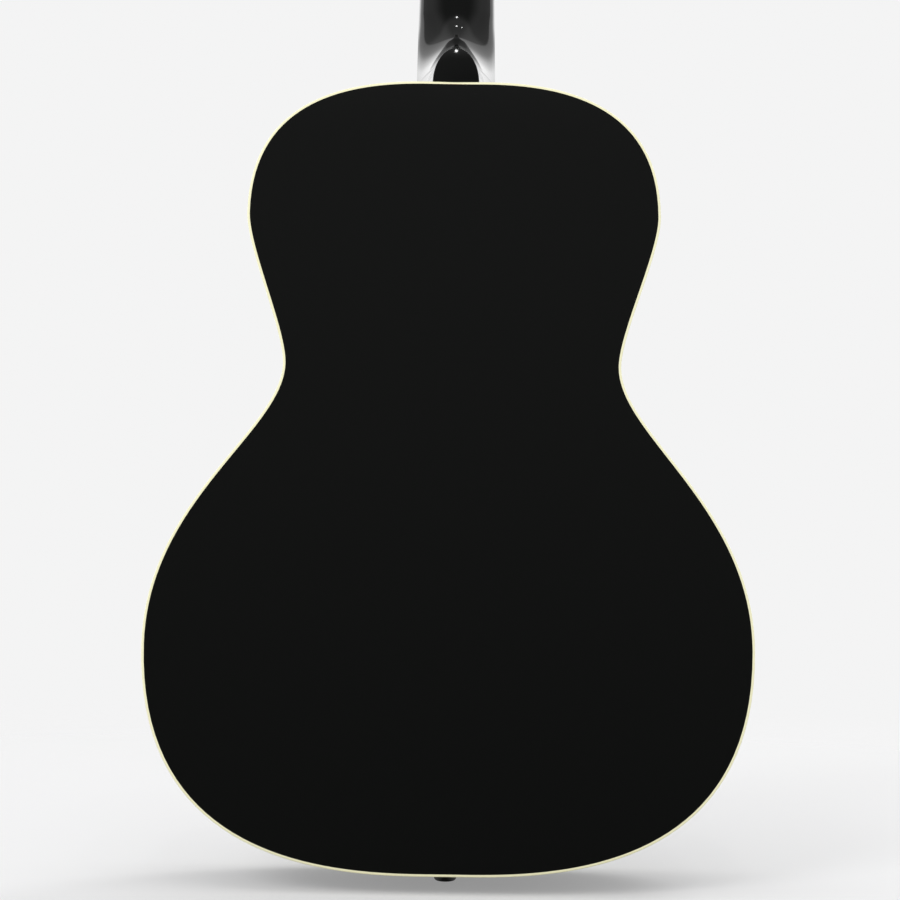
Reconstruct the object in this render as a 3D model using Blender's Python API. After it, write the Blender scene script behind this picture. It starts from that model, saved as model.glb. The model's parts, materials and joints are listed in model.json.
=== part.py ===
"""A small-bodied flat-top steel-string acoustic guitar, black with cream binding, as a bench assembly.

The frame: +Z runs up the neck, -Y is the soundboard side, +X is the treble side.
The origin is the middle of the end pin's flat outer face, and sizes are metres.
"""

import math

import bmesh
import bpy
from mathutils import Matrix, Vector

MM = 0.001
GLUE = 0.3 * MM  # the gap kept between pieces that touch
SHARP_ANGLE = math.radians(35)

# Body outline: half widths at the widest and narrowest places, and their heights above the tail
BODY_LENGTH = 493 * MM
LOWER_BOUT_WIDTH = 375 * MM
WAIST_WIDTH = 210 * MM
UPPER_BOUT_WIDTH = 260 * MM
LOWER_BOUT_HEIGHT = 136.6 * MM
WAIST_HEIGHT = 311 * MM
UPPER_BOUT_HEIGHT = 407 * MM
# How far each curve runs straight on before it turns, as a share of the step to the next place
TAIL_FULLNESS, LOWER_BOUT_FULLNESS = 0.25, 1.05
LOWER_TO_WAIST_FULLNESS, WAIST_FROM_LOWER_FULLNESS = 0.51, 0.24
WAIST_TO_UPPER_FULLNESS, UPPER_FROM_WAIST_FULLNESS = 0.22, 0.237
UPPER_BOUT_FULLNESS, SHOULDER_FULLNESS = 1.12, 0.2
STATIONS_PER_CURVE = (10, 9, 6, 10)

# Body section
TAIL_DEPTH = 109 * MM
NECK_END_DEPTH = 87.5 * MM
BACK_ARCH_RADIUS = 4600 * MM
BACK_LENGTH_ARCH = 4 * MM
SOUNDBOARD_THICKNESS = 2.8 * MM
BACK_THICKNESS = 2.6 * MM
SIDE_THICKNESS = 2.0 * MM
PLATE_END_HALF_WIDTH = 3 * MM  # the plates' outline runs straight across this far at its two ends
BINDING_WIDTH = 1.6 * MM
BINDING_HEIGHT = 5.5 * MM
LINING_WIDTH = 6 * MM
LINING_HEIGHT = 14 * MM
LINING_LIP = 3 * MM
BLOCK_WIDTH = 76 * MM
NECK_BLOCK_LENGTH = 55 * MM
TAIL_BLOCK_LENGTH = 22 * MM

# Strings and fretting
SCALE_LENGTH = 628.65 * MM
BODY_FRET = 14
FRET_COUNT = 20
FRET_WIDTH = 2.0 * MM
FRET_HEIGHT = 1.0 * MM
NUT_WIDTH = 43.8 * MM
NUT_LENGTH = 6 * MM
NUT_HEIGHT = 9.0 * MM
FRETBOARD_END_WIDTH = 57 * MM
FRETBOARD_THICKNESS = 6.35 * MM
FRETBOARD_OVERHANG = 6.5 * MM
FRETBOARD_RADIUS = 305 * MM
STRING_DIAMETERS = [0.30 * MM, 0.41 * MM, 0.61 * MM, 0.81 * MM, 1.07 * MM, 1.35 * MM]
NUT_STRING_SPREAD = 36.5 * MM
SADDLE_STRING_SPREAD = 54 * MM
STRING_ABOVE_BOARD_AT_NUT = 1.6 * MM
STRING_ABOVE_TOP_AT_SADDLE = 11.6 * MM
WINDING_TURNS = 2.5
WINDING_GAP = 0.45 * MM
WINDING_POINTS = 10
BALL_END_RADIUS = 1.9 * MM

# Neck and headstock
NECK_DEPTH_AT_NUT = 15.2 * MM
NECK_DEPTH_AT_HEEL = 18.2 * MM
HEEL_REACH = 56 * MM
HEEL_CAP_LENGTH = 22 * MM
HEEL_CAP_WIDTH = 29.5 * MM
HEEL_CAP_THICKNESS = 3 * MM
TENON_WIDTH = 20 * MM
TENON_LENGTH = 16 * MM
TENON_DEPTH = 62 * MM
HEAD_ANGLE = math.radians(15)
HEAD_LENGTH = 164 * MM
HEAD_SHOULDER = 32 * MM
HEAD_LOWER_WIDTH = 74 * MM
HEAD_UPPER_WIDTH = 80 * MM
HEAD_CROWN = 14 * MM
HEAD_THICKNESS = 14.5 * MM
ROD_RADIUS = 2.4 * MM
ROD_NUT_RADIUS = 3.2 * MM
ROD_NUT_LENGTH = 10 * MM
ROD_DEPTH = 7.5 * MM
ROD_CHANNEL_WIDTH = 7 * MM
ROD_PAST_NUT = 14 * MM
COVER_WIDTH = 22 * MM
COVER_LENGTH = 36 * MM
COVER_START = 1 * MM
COVER_SHOULDER = 6 * MM
COVER_THICKNESS = 2 * MM

# Bridge, saddle and pins
BRIDGE_WIDTH = 158 * MM
BRIDGE_LENGTH = 28 * MM
BRIDGE_HEIGHT = 8.5 * MM
BRIDGE_WING_HEIGHT = 4.5 * MM
BRIDGE_WING = 42 * MM
SADDLE_TO_BRIDGE_FRONT = 6 * MM
SADDLE_THICKNESS = 3 * MM
SADDLE_LENGTH = 72 * MM
SADDLE_SEAT = 5 * MM
SADDLE_TO_PINS = 14 * MM
COMPENSATION_TREBLE = 1.0 * MM
COMPENSATION_BASS = 4.5 * MM
PIN_RADIUS = 2.7 * MM
PIN_TIP_RADIUS = 2.3 * MM
PIN_HEAD_RADIUS = 3.9 * MM
PIN_HEAD_HEIGHT = 4.2 * MM
PIN_LENGTH = 24 * MM
PIN_CLEARANCE = 0.4 * MM
STRING_SLOT_REACH = 6 * MM
STRING_DROP = 4.9 * MM
STRING_SLOT_WIDTH = 2.1 * MM
BRIDGE_PLATE_LENGTH = 40 * MM
BRIDGE_PLATE_THICKNESS = 2.6 * MM
BRIDGE_PLATE_TO_BRACE = 5 * MM

# Soundhole, pickguard, braces and end pin
SOUNDHOLE_RADIUS = 50 * MM
SOUNDHOLE_SIDES = 40
SOUNDHOLE_FROM_BOARD = 5 * MM
PICKGUARD_THICKNESS = 1.4 * MM
PICKGUARD_WIDTH = 36 * MM
PICKGUARD_DROP = 98 * MM
PICKGUARD_MARGIN = 5 * MM
PICKGUARD_UPPER, PICKGUARD_LOWER = math.radians(56), math.radians(-40)
PICKGUARD_STEPS = 7
X_BRACE_BELOW_HOLE = 27 * MM
X_BRACE_ANGLE = math.radians(47)
X_BRACE_UPPER = 118 * MM
X_BRACE_LOWER = 150 * MM
X_BRACE_WIDTH = 7 * MM
X_BRACE_HEIGHT = 12 * MM
BRACE_END_HEIGHT = 3 * MM
LOWER_BACK_BRACE_HEIGHT = 80 * MM
MIDDLE_BACK_BRACE_HEIGHT = 215 * MM
UPPER_BACK_BRACE_HEIGHT = 375 * MM
BACK_BRACE_WIDTH = 8 * MM
BACK_BRACE_HEIGHT = 14 * MM
END_PIN_PROJECTION = 11.5 * MM
END_PIN_HEAD_RADIUS = 7.2 * MM
END_PIN_FACE_RADIUS = 4.2 * MM
END_PIN_SHANK_RADIUS = 4 * MM
END_PIN_SHANK_LENGTH = 20 * MM
END_PIN_SIDES = 16

# Tuning machines, three on a plate
POST_SPACING = 38 * MM
FIRST_POST = 42 * MM
POST_OFFSET = 26 * MM
POST_RADIUS = 3.1 * MM
POST_WAIST_RADIUS = 2.8 * MM
POST_ABOVE_FACE = 15 * MM
POST_HOLE_RADIUS = 4.4 * MM
POST_EYE_RADIUS = 0.9 * MM
PLATE_WIDTH = 16 * MM
PLATE_THICKNESS = 1.0 * MM
PLATE_END = 12 * MM
EAR_OFFSET = 5.2 * MM
EAR_WIDTH = 6 * MM
GEAR_TEETH = 14
GEAR_PITCH_RADIUS = 5.0 * MM
GEAR_WIDTH = 3 * MM
TOOTH_ADDENDUM = 0.55 * MM
TOOTH_DEDENDUM = 0.75 * MM
TOOTH_SHARE = 0.37  # of the pitch, on the tooth and on the thread; the rest is backlash
WORM_PITCH_RADIUS = 2.0 * MM
WORM_TURNS = 2.4
WORM_STEPS = 10
WORM_ABOVE_PLATE = 2.9 * MM
SHAFT_RADIUS = 1.4 * MM
SHAFT_CLEARANCE = 0.2 * MM
BUTTON_FROM_EDGE = 3.5 * MM
BUTTON_LENGTH = 13 * MM
BUTTON_HEIGHT = 16 * MM
BUTTON_THICKNESS = 7.5 * MM
BUTTON_SOCKET = 8 * MM
ROUND_SIDES = 10

# Places that follow from the sizes above
TAIL_Z = END_PIN_PROJECTION
BODY_END_Z = TAIL_Z + BODY_LENGTH
TOP_Y = -TAIL_DEPTH / 2
NUT_Z = BODY_END_Z + SCALE_LENGTH * (1 - 2 ** (-BODY_FRET / 12))
HEAD_Z = NUT_Z + NUT_LENGTH
SADDLE_Z = NUT_Z - SCALE_LENGTH - (COMPENSATION_TREBLE + COMPENSATION_BASS) / 2
PIN_Z = SADDLE_Z - SADDLE_TO_PINS
BOARD_END_Z = NUT_Z - SCALE_LENGTH * (1 - 2 ** (-FRET_COUNT / 12)) - FRETBOARD_OVERHANG
HOLE_Z = BOARD_END_Z - SOUNDHOLE_FROM_BOARD - SOUNDHOLE_RADIUS
X_BRACE_Z = HOLE_Z - SOUNDHOLE_RADIUS - X_BRACE_BELOW_HOLE
PLATE_INSET = BINDING_WIDTH + GLUE
LINING_INSET = SIDE_THICKNESS + GLUE
RIM_INSET = LINING_INSET + LINING_WIDTH + GLUE
UNDER_TOP_Y = TOP_Y + SOUNDBOARD_THICKNESS + GLUE
CENTRE_DISTANCE = GEAR_PITCH_RADIUS + WORM_PITCH_RADIUS
THREAD_PITCH = 2 * math.pi * GEAR_PITCH_RADIUS / GEAR_TEETH
PLATE_Y = HEAD_THICKNESS + GLUE
WORM_Y = PLATE_Y + PLATE_THICKNESS + WORM_ABOVE_PLATE

COLOURS = {
    "black_lacquer": ((0.010, 0.010, 0.011), 0.08, 0.0),
    "cream_binding": ((0.86, 0.80, 0.58), 0.3, 0.0),
    "spruce": ((0.62, 0.42, 0.22), 0.6, 0.0),
    "mahogany": ((0.26, 0.11, 0.055), 0.6, 0.0),
    "rosewood": ((0.075, 0.036, 0.022), 0.45, 0.0),
    "bone": ((0.84, 0.80, 0.68), 0.35, 0.0),
    "ebony": ((0.020, 0.014, 0.011), 0.35, 0.0),
    "tortoise": ((0.16, 0.045, 0.018), 0.15, 0.0),
    "ivory_plastic": ((0.86, 0.83, 0.72), 0.25, 0.0),
    "nickel": ((0.62, 0.60, 0.57), 0.22, 1.0),
    "steel": ((0.55, 0.55, 0.56), 0.3, 1.0),
    "bronze_wire": ((0.62, 0.40, 0.20), 0.35, 1.0),
}


def clear_scene():
    for obj in list(bpy.data.objects):
        bpy.data.objects.remove(obj)


def material(name):
    made = bpy.data.materials.get(name)
    if made is None:
        made = bpy.data.materials.new(name)
        made.use_nodes = True
        colour, roughness, metallic = COLOURS[name]
        shader = made.node_tree.nodes["Principled BSDF"]
        shader.inputs["Base Color"].default_value = (*colour, 1)
        shader.inputs["Roughness"].default_value = roughness
        shader.inputs["Metallic"].default_value = metallic
    return made


def add_object(name, mesh, finish, parent=None):
    obj = bpy.data.objects.new(name, mesh)
    bpy.context.scene.collection.objects.link(obj)
    obj.parent = parent
    if finish:
        mesh.materials.clear()
        mesh.materials.append(material(finish))
    return obj


def mesh_from(bm, name):
    bmesh.ops.recalc_face_normals(bm, faces=bm.faces)
    mesh = bpy.data.meshes.new(name)
    bm.to_mesh(mesh)
    bm.free()
    mesh.shade_smooth()
    mesh.set_sharp_from_angle(angle=SHARP_ANGLE)
    return mesh


def swept_mesh(name, sections, closed=False):
    """A skin over rings of equally many points, capped at both ends or run round into a closed loop."""
    bm = bmesh.new()
    rings = [[bm.verts.new(point) for point in section] for section in sections]
    following = rings[1:] + rings[:1] if closed else rings[1:]
    for ring, after in zip(rings, following):
        for i in range(len(ring)):
            j = (i + 1) % len(ring)
            bm.faces.new((ring[i], ring[j], after[j], after[i]))
    if not closed:
        bm.faces.new(rings[0])
        bm.faces.new(rings[-1])
    return mesh_from(bm, name)


def turned_mesh(name, profile, axis, sides=ROUND_SIDES):
    """A turned solid: profile holds (distance along the axis, radius), and axis is X, Y or Z."""
    place = {
        "X": lambda a, c, s: (a, c, s),
        "Y": lambda a, c, s: (s, a, c),
        "Z": lambda a, c, s: (c, s, a),
    }[axis]
    rings = []
    for along, radius in profile:
        turns = [2 * math.pi * k / sides for k in range(sides)]
        rings.append([place(along, radius * math.cos(t), radius * math.sin(t)) for t in turns])
    return swept_mesh(name, rings)


def box_mesh(name, low, high):
    (x0, y0, z0), (x1, y1, z1) = low, high
    ring = [(x0, y0), (x1, y0), (x1, y1), (x0, y1)]
    return swept_mesh(name, [[(x, y, z) for x, y in ring] for z in (z0, z1)])


def cut(target, mesh, operation="DIFFERENCE"):
    """Cuts a mesh out of an object, or joins it on, and applies the change."""
    tool = bpy.data.objects.new(target.name + "_tool", mesh)
    bpy.context.scene.collection.objects.link(tool)
    tool.hide_render = True
    tool.display_type = "WIRE"
    modifier = target.modifiers.new("shape", "BOOLEAN")
    modifier.operation = operation
    modifier.object = tool
    bpy.context.view_layer.update()
    graph = bpy.context.evaluated_depsgraph_get()
    finished = bpy.data.meshes.new_from_object(target.evaluated_get(graph))
    finished.set_sharp_from_angle(angle=SHARP_ANGLE)
    target.modifiers.clear()
    target.data = finished
    bpy.data.objects.remove(tool)


# Body outline and surfaces


def outline_curves():
    """The right half of the outline as four cubic curves, from the tail round to the neck end."""
    lower, waist, upper = LOWER_BOUT_WIDTH / 2, WAIST_WIDTH / 2, UPPER_BOUT_WIDTH / 2
    tail = Vector((0, 0))
    widest = Vector((lower, LOWER_BOUT_HEIGHT))
    narrow = Vector((waist, WAIST_HEIGHT))
    shoulder = Vector((upper, UPPER_BOUT_HEIGHT))
    neck_end = Vector((0, BODY_LENGTH))
    up = Vector((0, 1))
    out = Vector((1, 0))
    rise = WAIST_HEIGHT - LOWER_BOUT_HEIGHT
    climb = UPPER_BOUT_HEIGHT - WAIST_HEIGHT
    top = BODY_LENGTH - UPPER_BOUT_HEIGHT
    return [
        (tail, tail + out * TAIL_FULLNESS * lower,
         widest - up * LOWER_BOUT_FULLNESS * LOWER_BOUT_HEIGHT, widest),
        (widest, widest + up * LOWER_TO_WAIST_FULLNESS * rise,
         narrow - up * WAIST_FROM_LOWER_FULLNESS * rise, narrow),
        (narrow, narrow + up * WAIST_TO_UPPER_FULLNESS * climb,
         shoulder - up * UPPER_FROM_WAIST_FULLNESS * climb, shoulder),
        (shoulder, shoulder + up * UPPER_BOUT_FULLNESS * top,
         neck_end + out * SHOULDER_FULLNESS * upper, neck_end),
    ]


def cubic(a, b, c, d, t):
    """A point on the curve that leaves a towards b and reaches d from c."""
    return a * (1 - t) ** 3 + b * 3 * (1 - t) ** 2 * t + c * 3 * (1 - t) * t**2 + d * t**3


def outline_point(station, inset=0.0):
    """(x, z) on the right half: station runs from 0 at the tail to 4 at the neck end."""
    index = min(int(station), 3)
    t = station - index
    a, b, c, d = outline_curves()[index]
    point = cubic(a, b, c, d, t)
    along = (b - a) * (1 - t) ** 2 + (c - b) * 2 * (1 - t) * t + (d - c) * t**2
    inward = Vector((-along.y, along.x)).normalized()
    return point + inward * inset + Vector((0, TAIL_Z))


def station_at(x, end, inset=0.0):
    """The station near the tail (end 0) or the neck (end 4) where the outline is x from the centre line."""
    low, high = (0.0, 1.0) if end == 0 else (3.0, 4.0)
    for _ in range(40):
        middle = (low + high) / 2
        nearer_centre = outline_point(middle, inset).x < x
        if nearer_centre == (end == 0):
            low = middle
        else:
            high = middle
    return (low + high) / 2


def stations(first, last):
    """Stations between two places, with each curve's own spacing."""
    found = [first]
    for index, count in enumerate(STATIONS_PER_CURVE):
        for step in range(count):
            station = index + step / count
            if first + 0.02 < station < last - 0.02:
                found.append(station)
    return found + [last]


def back_y(x, z, below=0.0):
    """The back's outer surface, or a surface that lies below it inside the body."""
    share = (z - TAIL_Z) / BODY_LENGTH
    depth = TAIL_DEPTH + (NECK_END_DEPTH - TAIL_DEPTH) * share
    depth += BACK_LENGTH_ARCH * 4 * share * (1 - share)
    return TOP_Y + depth - x * x / (2 * BACK_ARCH_RADIUS) - below


def body_half_width(z):
    """Half the body's width at a height above the origin."""
    low, high = 0.0, 4.0
    for _ in range(40):
        middle = (low + high) / 2
        if outline_point(middle).y < z:
            low = middle
        else:
            high = middle
    return outline_point(low).x


# Body pieces


def plate_mesh(name, front, rear, columns):
    """A plate inside the binding, between two surfaces given as functions of x and z."""
    start = station_at(PLATE_END_HALF_WIDTH, 0, PLATE_INSET)
    stop = station_at(PLATE_END_HALF_WIDTH, 4, PLATE_INSET)
    sections = []
    for station in stations(start, stop):
        x, z = outline_point(station, PLATE_INSET)
        across = [x * (2 * k / (columns - 1) - 1) for k in range(columns)]
        ring = [(u, front(u, z), z) for u in across]
        ring += [(u, rear(u, z), z) for u in reversed(across)]
        sections.append(ring)
    return swept_mesh(name, sections)


def make_back():
    inner = BACK_THICKNESS
    mesh = plate_mesh("back", lambda x, z: back_y(x, z, inner), back_y, 5)
    add_object("back", mesh, "black_lacquer")


def string_x(index, spread):
    """Where string 1 to 6 lies across a spread, from treble to bass."""
    return spread * (0.5 - (index - 1) / 5)


def pin_hole_mesh(name, x, low_y, high_y):
    """A round hole for a bridge pin with a slot in front of it for the string."""
    radius = PIN_RADIUS + PIN_CLEARANCE
    turns = [math.pi + math.pi * k / 6 for k in range(7)]
    outline = [(x + radius * math.cos(t), PIN_Z + radius * math.sin(t)) for t in turns]
    half = STRING_SLOT_WIDTH / 2
    far = PIN_Z + STRING_SLOT_REACH
    outline += [(x + radius, PIN_Z + half), (x + half, PIN_Z + radius), (x + half, far)]
    outline += [(x - half, far), (x - half, PIN_Z + radius), (x - radius, PIN_Z + half)]
    return swept_mesh(name, [[(u, y, z) for u, z in outline] for y in (low_y, high_y)])


def drill_pin_holes(obj, low_y, high_y):
    for index in range(1, 7):
        cut(obj, pin_hole_mesh("hole", string_x(index, SADDLE_STRING_SPREAD), low_y, high_y))


def make_soundboard():
    under = TOP_Y + SOUNDBOARD_THICKNESS
    mesh = plate_mesh("soundboard", lambda x, z: TOP_Y, lambda x, z: under, 2)
    board = add_object("soundboard", mesh, "black_lacquer")
    past = 2 * MM
    ends = [(TOP_Y - past, SOUNDHOLE_RADIUS), (under + past, SOUNDHOLE_RADIUS)]
    hole = turned_mesh("hole", ends, "Y", SOUNDHOLE_SIDES)
    hole.transform(move_by(z=HOLE_Z))
    cut(board, hole)
    drill_pin_holes(board, TOP_Y - past, under + past)


def move_by(x=0.0, y=0.0, z=0.0):
    return Matrix.Translation((x, y, z))


def rim_sections(route, outer, inner, front, rear, side, rear_inner=None):
    """Four-cornered sections of a strip that follows the rim, from outer to inner inset."""
    sections = []
    for station in route:
        x, z = outline_point(station, outer)
        u, w = outline_point(station, inner)
        far = rear_inner or rear
        sections.append([
            (side * x, front(x, z), z),
            (side * x, rear(x, z), z),
            (side * u, far(u, w), w),
            (side * u, front(u, w), w),
        ])
    return sections


def make_sides():
    front = TOP_Y + BINDING_HEIGHT + GLUE
    below = BINDING_HEIGHT + GLUE
    for name, side in (("side_treble", 1), ("side_bass", -1)):
        route = stations(station_at(GLUE / 2, 0), station_at(TENON_WIDTH / 2 + GLUE, 4))
        sections = rim_sections(
            route, 0, SIDE_THICKNESS, lambda x, z: front, lambda x, z: back_y(x, z, below), side
        )
        obj = add_object(name, swept_mesh(name, sections), "black_lacquer")
        shank = END_PIN_SHANK_RADIUS + GLUE
        past = TAIL_Z + 4 * SIDE_THICKNESS
        cut(obj, turned_mesh("hole", [(0, shank), (past, shank)], "Z", END_PIN_SIDES))


def make_bindings():
    half = stations(0.0, 4.0)
    for name, front, rear in (
        ("top_binding", lambda x, z: TOP_Y, lambda x, z: TOP_Y + BINDING_HEIGHT),
        ("back_binding", lambda x, z: back_y(x, z, BINDING_HEIGHT), back_y),
    ):
        right = rim_sections(half, 0, BINDING_WIDTH, front, rear, 1)
        left = rim_sections(half[-2:0:-1], 0, BINDING_WIDTH, front, rear, -1)
        add_object(name, swept_mesh(name, right + left, closed=True), "cream_binding")


def make_linings():
    edge = BLOCK_WIDTH / 2 + GLUE
    inner = LINING_INSET + LINING_WIDTH
    plate = BACK_THICKNESS + GLUE
    route = stations(station_at(edge, 0, inner), station_at(edge, 4, inner))
    for side_name, side in (("treble", 1), ("bass", -1)):
        sections = rim_sections(
            route, LINING_INSET, inner, lambda x, z: UNDER_TOP_Y,
            lambda x, z: UNDER_TOP_Y + LINING_HEIGHT, side, lambda x, z: UNDER_TOP_Y + LINING_LIP,
        )
        name = "lining_top_" + side_name
        add_object(name, swept_mesh(name, sections), "mahogany")
        sections = rim_sections(
            route, LINING_INSET, inner, lambda x, z: back_y(x, z, plate),
            lambda x, z: back_y(x, z, plate + LINING_HEIGHT), side,
            lambda x, z: back_y(x, z, plate + LINING_LIP),
        )
        name = "lining_back_" + side_name
        add_object(name, swept_mesh(name, sections), "mahogany")


def block_mesh(name, end, length):
    """A block that fills the rim's end between the plates, following the rim's own curve."""
    count = 8
    plate = BACK_THICKNESS + GLUE
    inward = 1 if end == 0 else -1
    sections = []
    for k in range(count + 1):
        x = BLOCK_WIDTH * (k / count - 0.5)
        if abs(x) < GLUE:
            edge = outline_point(float(end), LINING_INSET).y
        else:
            edge = outline_point(station_at(abs(x), end, LINING_INSET), LINING_INSET).y
        far = outline_point(float(end), LINING_INSET).y + inward * length
        sections.append([
            (x, UNDER_TOP_Y, edge),
            (x, UNDER_TOP_Y, far),
            (x, back_y(x, far, plate), far),
            (x, back_y(x, edge, plate), edge),
        ])
    return swept_mesh(name, sections)


def make_blocks():
    neck_block = add_object("neck_block", block_mesh("neck_block", 4, NECK_BLOCK_LENGTH), "mahogany")
    half = TENON_WIDTH / 2 + GLUE
    top = TOP_Y + BINDING_HEIGHT + GLUE
    cut(neck_block, box_mesh(
        "mortise",
        (-half, top, BODY_END_Z - TENON_LENGTH - GLUE),
        (half, TOP_Y + TENON_DEPTH + GLUE, BODY_END_Z + TENON_LENGTH),
    ))
    tail_block = add_object("tail_block", block_mesh("tail_block", 0, TAIL_BLOCK_LENGTH), "mahogany")
    shank = END_PIN_SHANK_RADIUS + GLUE
    depth = TAIL_Z + END_PIN_SHANK_LENGTH + GLUE
    cut(tail_block, turned_mesh("hole", [(0, shank), (depth, shank)], "Z", END_PIN_SIDES))


def make_back_braces():
    plate = BACK_THICKNESS + GLUE
    count = 8
    heights = (LOWER_BACK_BRACE_HEIGHT, MIDDLE_BACK_BRACE_HEIGHT, UPPER_BACK_BRACE_HEIGHT)
    for index, height in enumerate(heights, 1):
        z = TAIL_Z + height
        half = body_half_width(z) - RIM_INSET - LINING_WIDTH
        sections = []
        for k in range(count + 1):
            share = 2 * k / count - 1
            x = half * share
            tall = BRACE_END_HEIGHT + (BACK_BRACE_HEIGHT - BRACE_END_HEIGHT) * (1 - share**4)
            ring = []
            for dz, up in ((-1, 0), (1, 0), (0.4, 1), (-0.4, 1)):
                w = z + dz * BACK_BRACE_WIDTH / 2
                ring.append((x, back_y(x, w, plate + up * tall), w))
            sections.append(ring)
        name = f"back_brace_{index}"
        add_object(name, swept_mesh(name, sections), "spruce")


def make_x_braces():
    """Two bars that cross under the bridge side of the soundhole, halved into each other."""
    half = X_BRACE_WIDTH / 2
    middle = X_BRACE_HEIGHT / 2
    for name, side, keeps_top in (("x_brace_treble", 1, True), ("x_brace_bass", -1, False)):
        sections = []
        for along, tall in (
            (-X_BRACE_LOWER, BRACE_END_HEIGHT), (-0.75 * X_BRACE_LOWER, X_BRACE_HEIGHT * 0.75),
            (-0.3 * X_BRACE_LOWER, X_BRACE_HEIGHT), (0.3 * X_BRACE_UPPER, X_BRACE_HEIGHT),
            (0.75 * X_BRACE_UPPER, X_BRACE_HEIGHT * 0.75), (X_BRACE_UPPER, BRACE_END_HEIGHT),
        ):
            ring = []
            for across, up in ((-1, 0), (1, 0), (0.5, 1), (-0.5, 1)):
                x = along * math.sin(X_BRACE_ANGLE) + across * half * math.cos(X_BRACE_ANGLE)
                z = along * math.cos(X_BRACE_ANGLE) - across * half * math.sin(X_BRACE_ANGLE)
                ring.append((side * x, UNDER_TOP_Y + up * tall, X_BRACE_Z + z))
            sections.append(ring)
        brace = add_object(name, swept_mesh(name, sections), "spruce")
        notch_half = half + GLUE
        if keeps_top:
            low, high = middle - GLUE / 2, 2 * X_BRACE_HEIGHT
        else:
            low, high = -X_BRACE_HEIGHT, middle + GLUE / 2
        notch = []
        for along, across in ((-1, -2), (1, -2), (1, 2), (-1, 2)):
            u, v = across * X_BRACE_WIDTH, along * notch_half
            x = u * math.sin(X_BRACE_ANGLE) + v * math.cos(X_BRACE_ANGLE)
            z = u * math.cos(X_BRACE_ANGLE) - v * math.sin(X_BRACE_ANGLE)
            notch.append((-side * x, X_BRACE_Z + z))
        cut(brace, swept_mesh("notch", [[(x, UNDER_TOP_Y + y, z) for x, z in notch] for y in (low, high)]))


def make_end_pin():
    neck = END_PIN_SHANK_RADIUS + 1 * MM
    profile = [
        (0, END_PIN_FACE_RADIUS),
        (0.14 * TAIL_Z, END_PIN_HEAD_RADIUS * 0.9),
        (0.3 * TAIL_Z, END_PIN_HEAD_RADIUS),
        (0.45 * TAIL_Z, END_PIN_HEAD_RADIUS * 0.9),
        (0.64 * TAIL_Z, neck),
        (0.81 * TAIL_Z, neck),
        (0.91 * TAIL_Z, neck * 1.28),
        (TAIL_Z - GLUE, neck * 1.28),
        (TAIL_Z - GLUE, END_PIN_SHANK_RADIUS),
        (TAIL_Z + END_PIN_SHANK_LENGTH, END_PIN_SHANK_RADIUS * 0.9),
    ]
    add_object("end_pin", turned_mesh("end_pin", profile, "Z", END_PIN_SIDES), "ebony")


# Neck pieces


def board_width_at(z):
    share = (NUT_Z - z) / (NUT_Z - BOARD_END_Z)
    return NUT_WIDTH + (FRETBOARD_END_WIDTH - NUT_WIDTH) * share


def heel_depth():
    return back_y(0, BODY_END_Z) - HEEL_CAP_THICKNESS - GLUE - TOP_Y


def heel_cap_half_width(rise):
    """The pointed arch of the heel's end, at a height above the body."""
    share = min(max(rise / HEEL_CAP_LENGTH, 0), 1)
    return HEEL_CAP_WIDTH / 2 * math.sqrt(1 - share**1.9)


def shaft_depth(z):
    share = (NUT_Z - z) / (NUT_Z - BODY_END_Z)
    return NECK_DEPTH_AT_NUT + (NECK_DEPTH_AT_HEEL - NECK_DEPTH_AT_NUT) * share


HALF_POINTS = 7
FLANK_SHARE = 0.72


def half_section(width, depth, squareness, heel, cap_half):
    """Points from the fretboard edge round to the middle of the back: (x, depth below the fretboard)."""
    points = []
    for k in range(HALF_POINTS):
        u = k / (HALF_POINTS - 1)
        turn = u * math.pi / 2
        round_x = width / 2 * max(math.cos(turn), 0) ** squareness if k < HALF_POINTS - 1 else 0.0
        round_y = depth * math.sin(turn) ** squareness
        if u < FLANK_SHARE:
            q = u / FLANK_SHARE
            heel_x = cap_half + (width / 2 - cap_half) * (1 - q) ** 1.7
            heel_y = depth * q
        else:
            heel_x = cap_half * (1 - u) / (1 - FLANK_SHARE)
            heel_y = depth
        points.append((round_x + (heel_x - round_x) * heel, round_y + (heel_y - round_y) * heel))
    return points


def whole_section(half):
    return half + [(-x, y) for x, y in reversed(half[:-1])]


def heel_section(z, rise):
    depth = shaft_depth(z)
    full = heel_depth()
    if rise > HEEL_CAP_LENGTH:
        share = min((rise - HEEL_CAP_LENGTH) / HEEL_REACH, 1)
        grown = (1 - share) ** 3
    else:
        grown = 1.0
    half = half_section(
        board_width_at(z), depth + (full - depth) * grown, 0.85, grown**0.5, heel_cap_half_width(rise)
    )
    return whole_section(half)


def head_width_at(along):
    """The headstock's width: shoulders, slightly spreading sides and a plain rounded crown."""
    if along < HEAD_SHOULDER:
        share = along / HEAD_SHOULDER
        return NUT_WIDTH + (HEAD_LOWER_WIDTH - NUT_WIDTH) * share * share * (3 - 2 * share)
    share = (along - HEAD_SHOULDER) / (HEAD_LENGTH - HEAD_SHOULDER)
    width = HEAD_LOWER_WIDTH + (HEAD_UPPER_WIDTH - HEAD_LOWER_WIDTH) * share
    left = HEAD_LENGTH - along
    if left < HEAD_CROWN:
        return width * math.sqrt(max(1 - (1 - left / HEAD_CROWN) ** 2.6, 0.001))
    return width


def head_point(x, back, along):
    """A point in the headstock: back is measured from its face, along from the nut."""
    turn_sin, turn_cos = math.sin(HEAD_ANGLE), math.cos(HEAD_ANGLE)
    return (x, TOP_Y + back * turn_cos + along * turn_sin, HEAD_Z - back * turn_sin + along * turn_cos)


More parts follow.
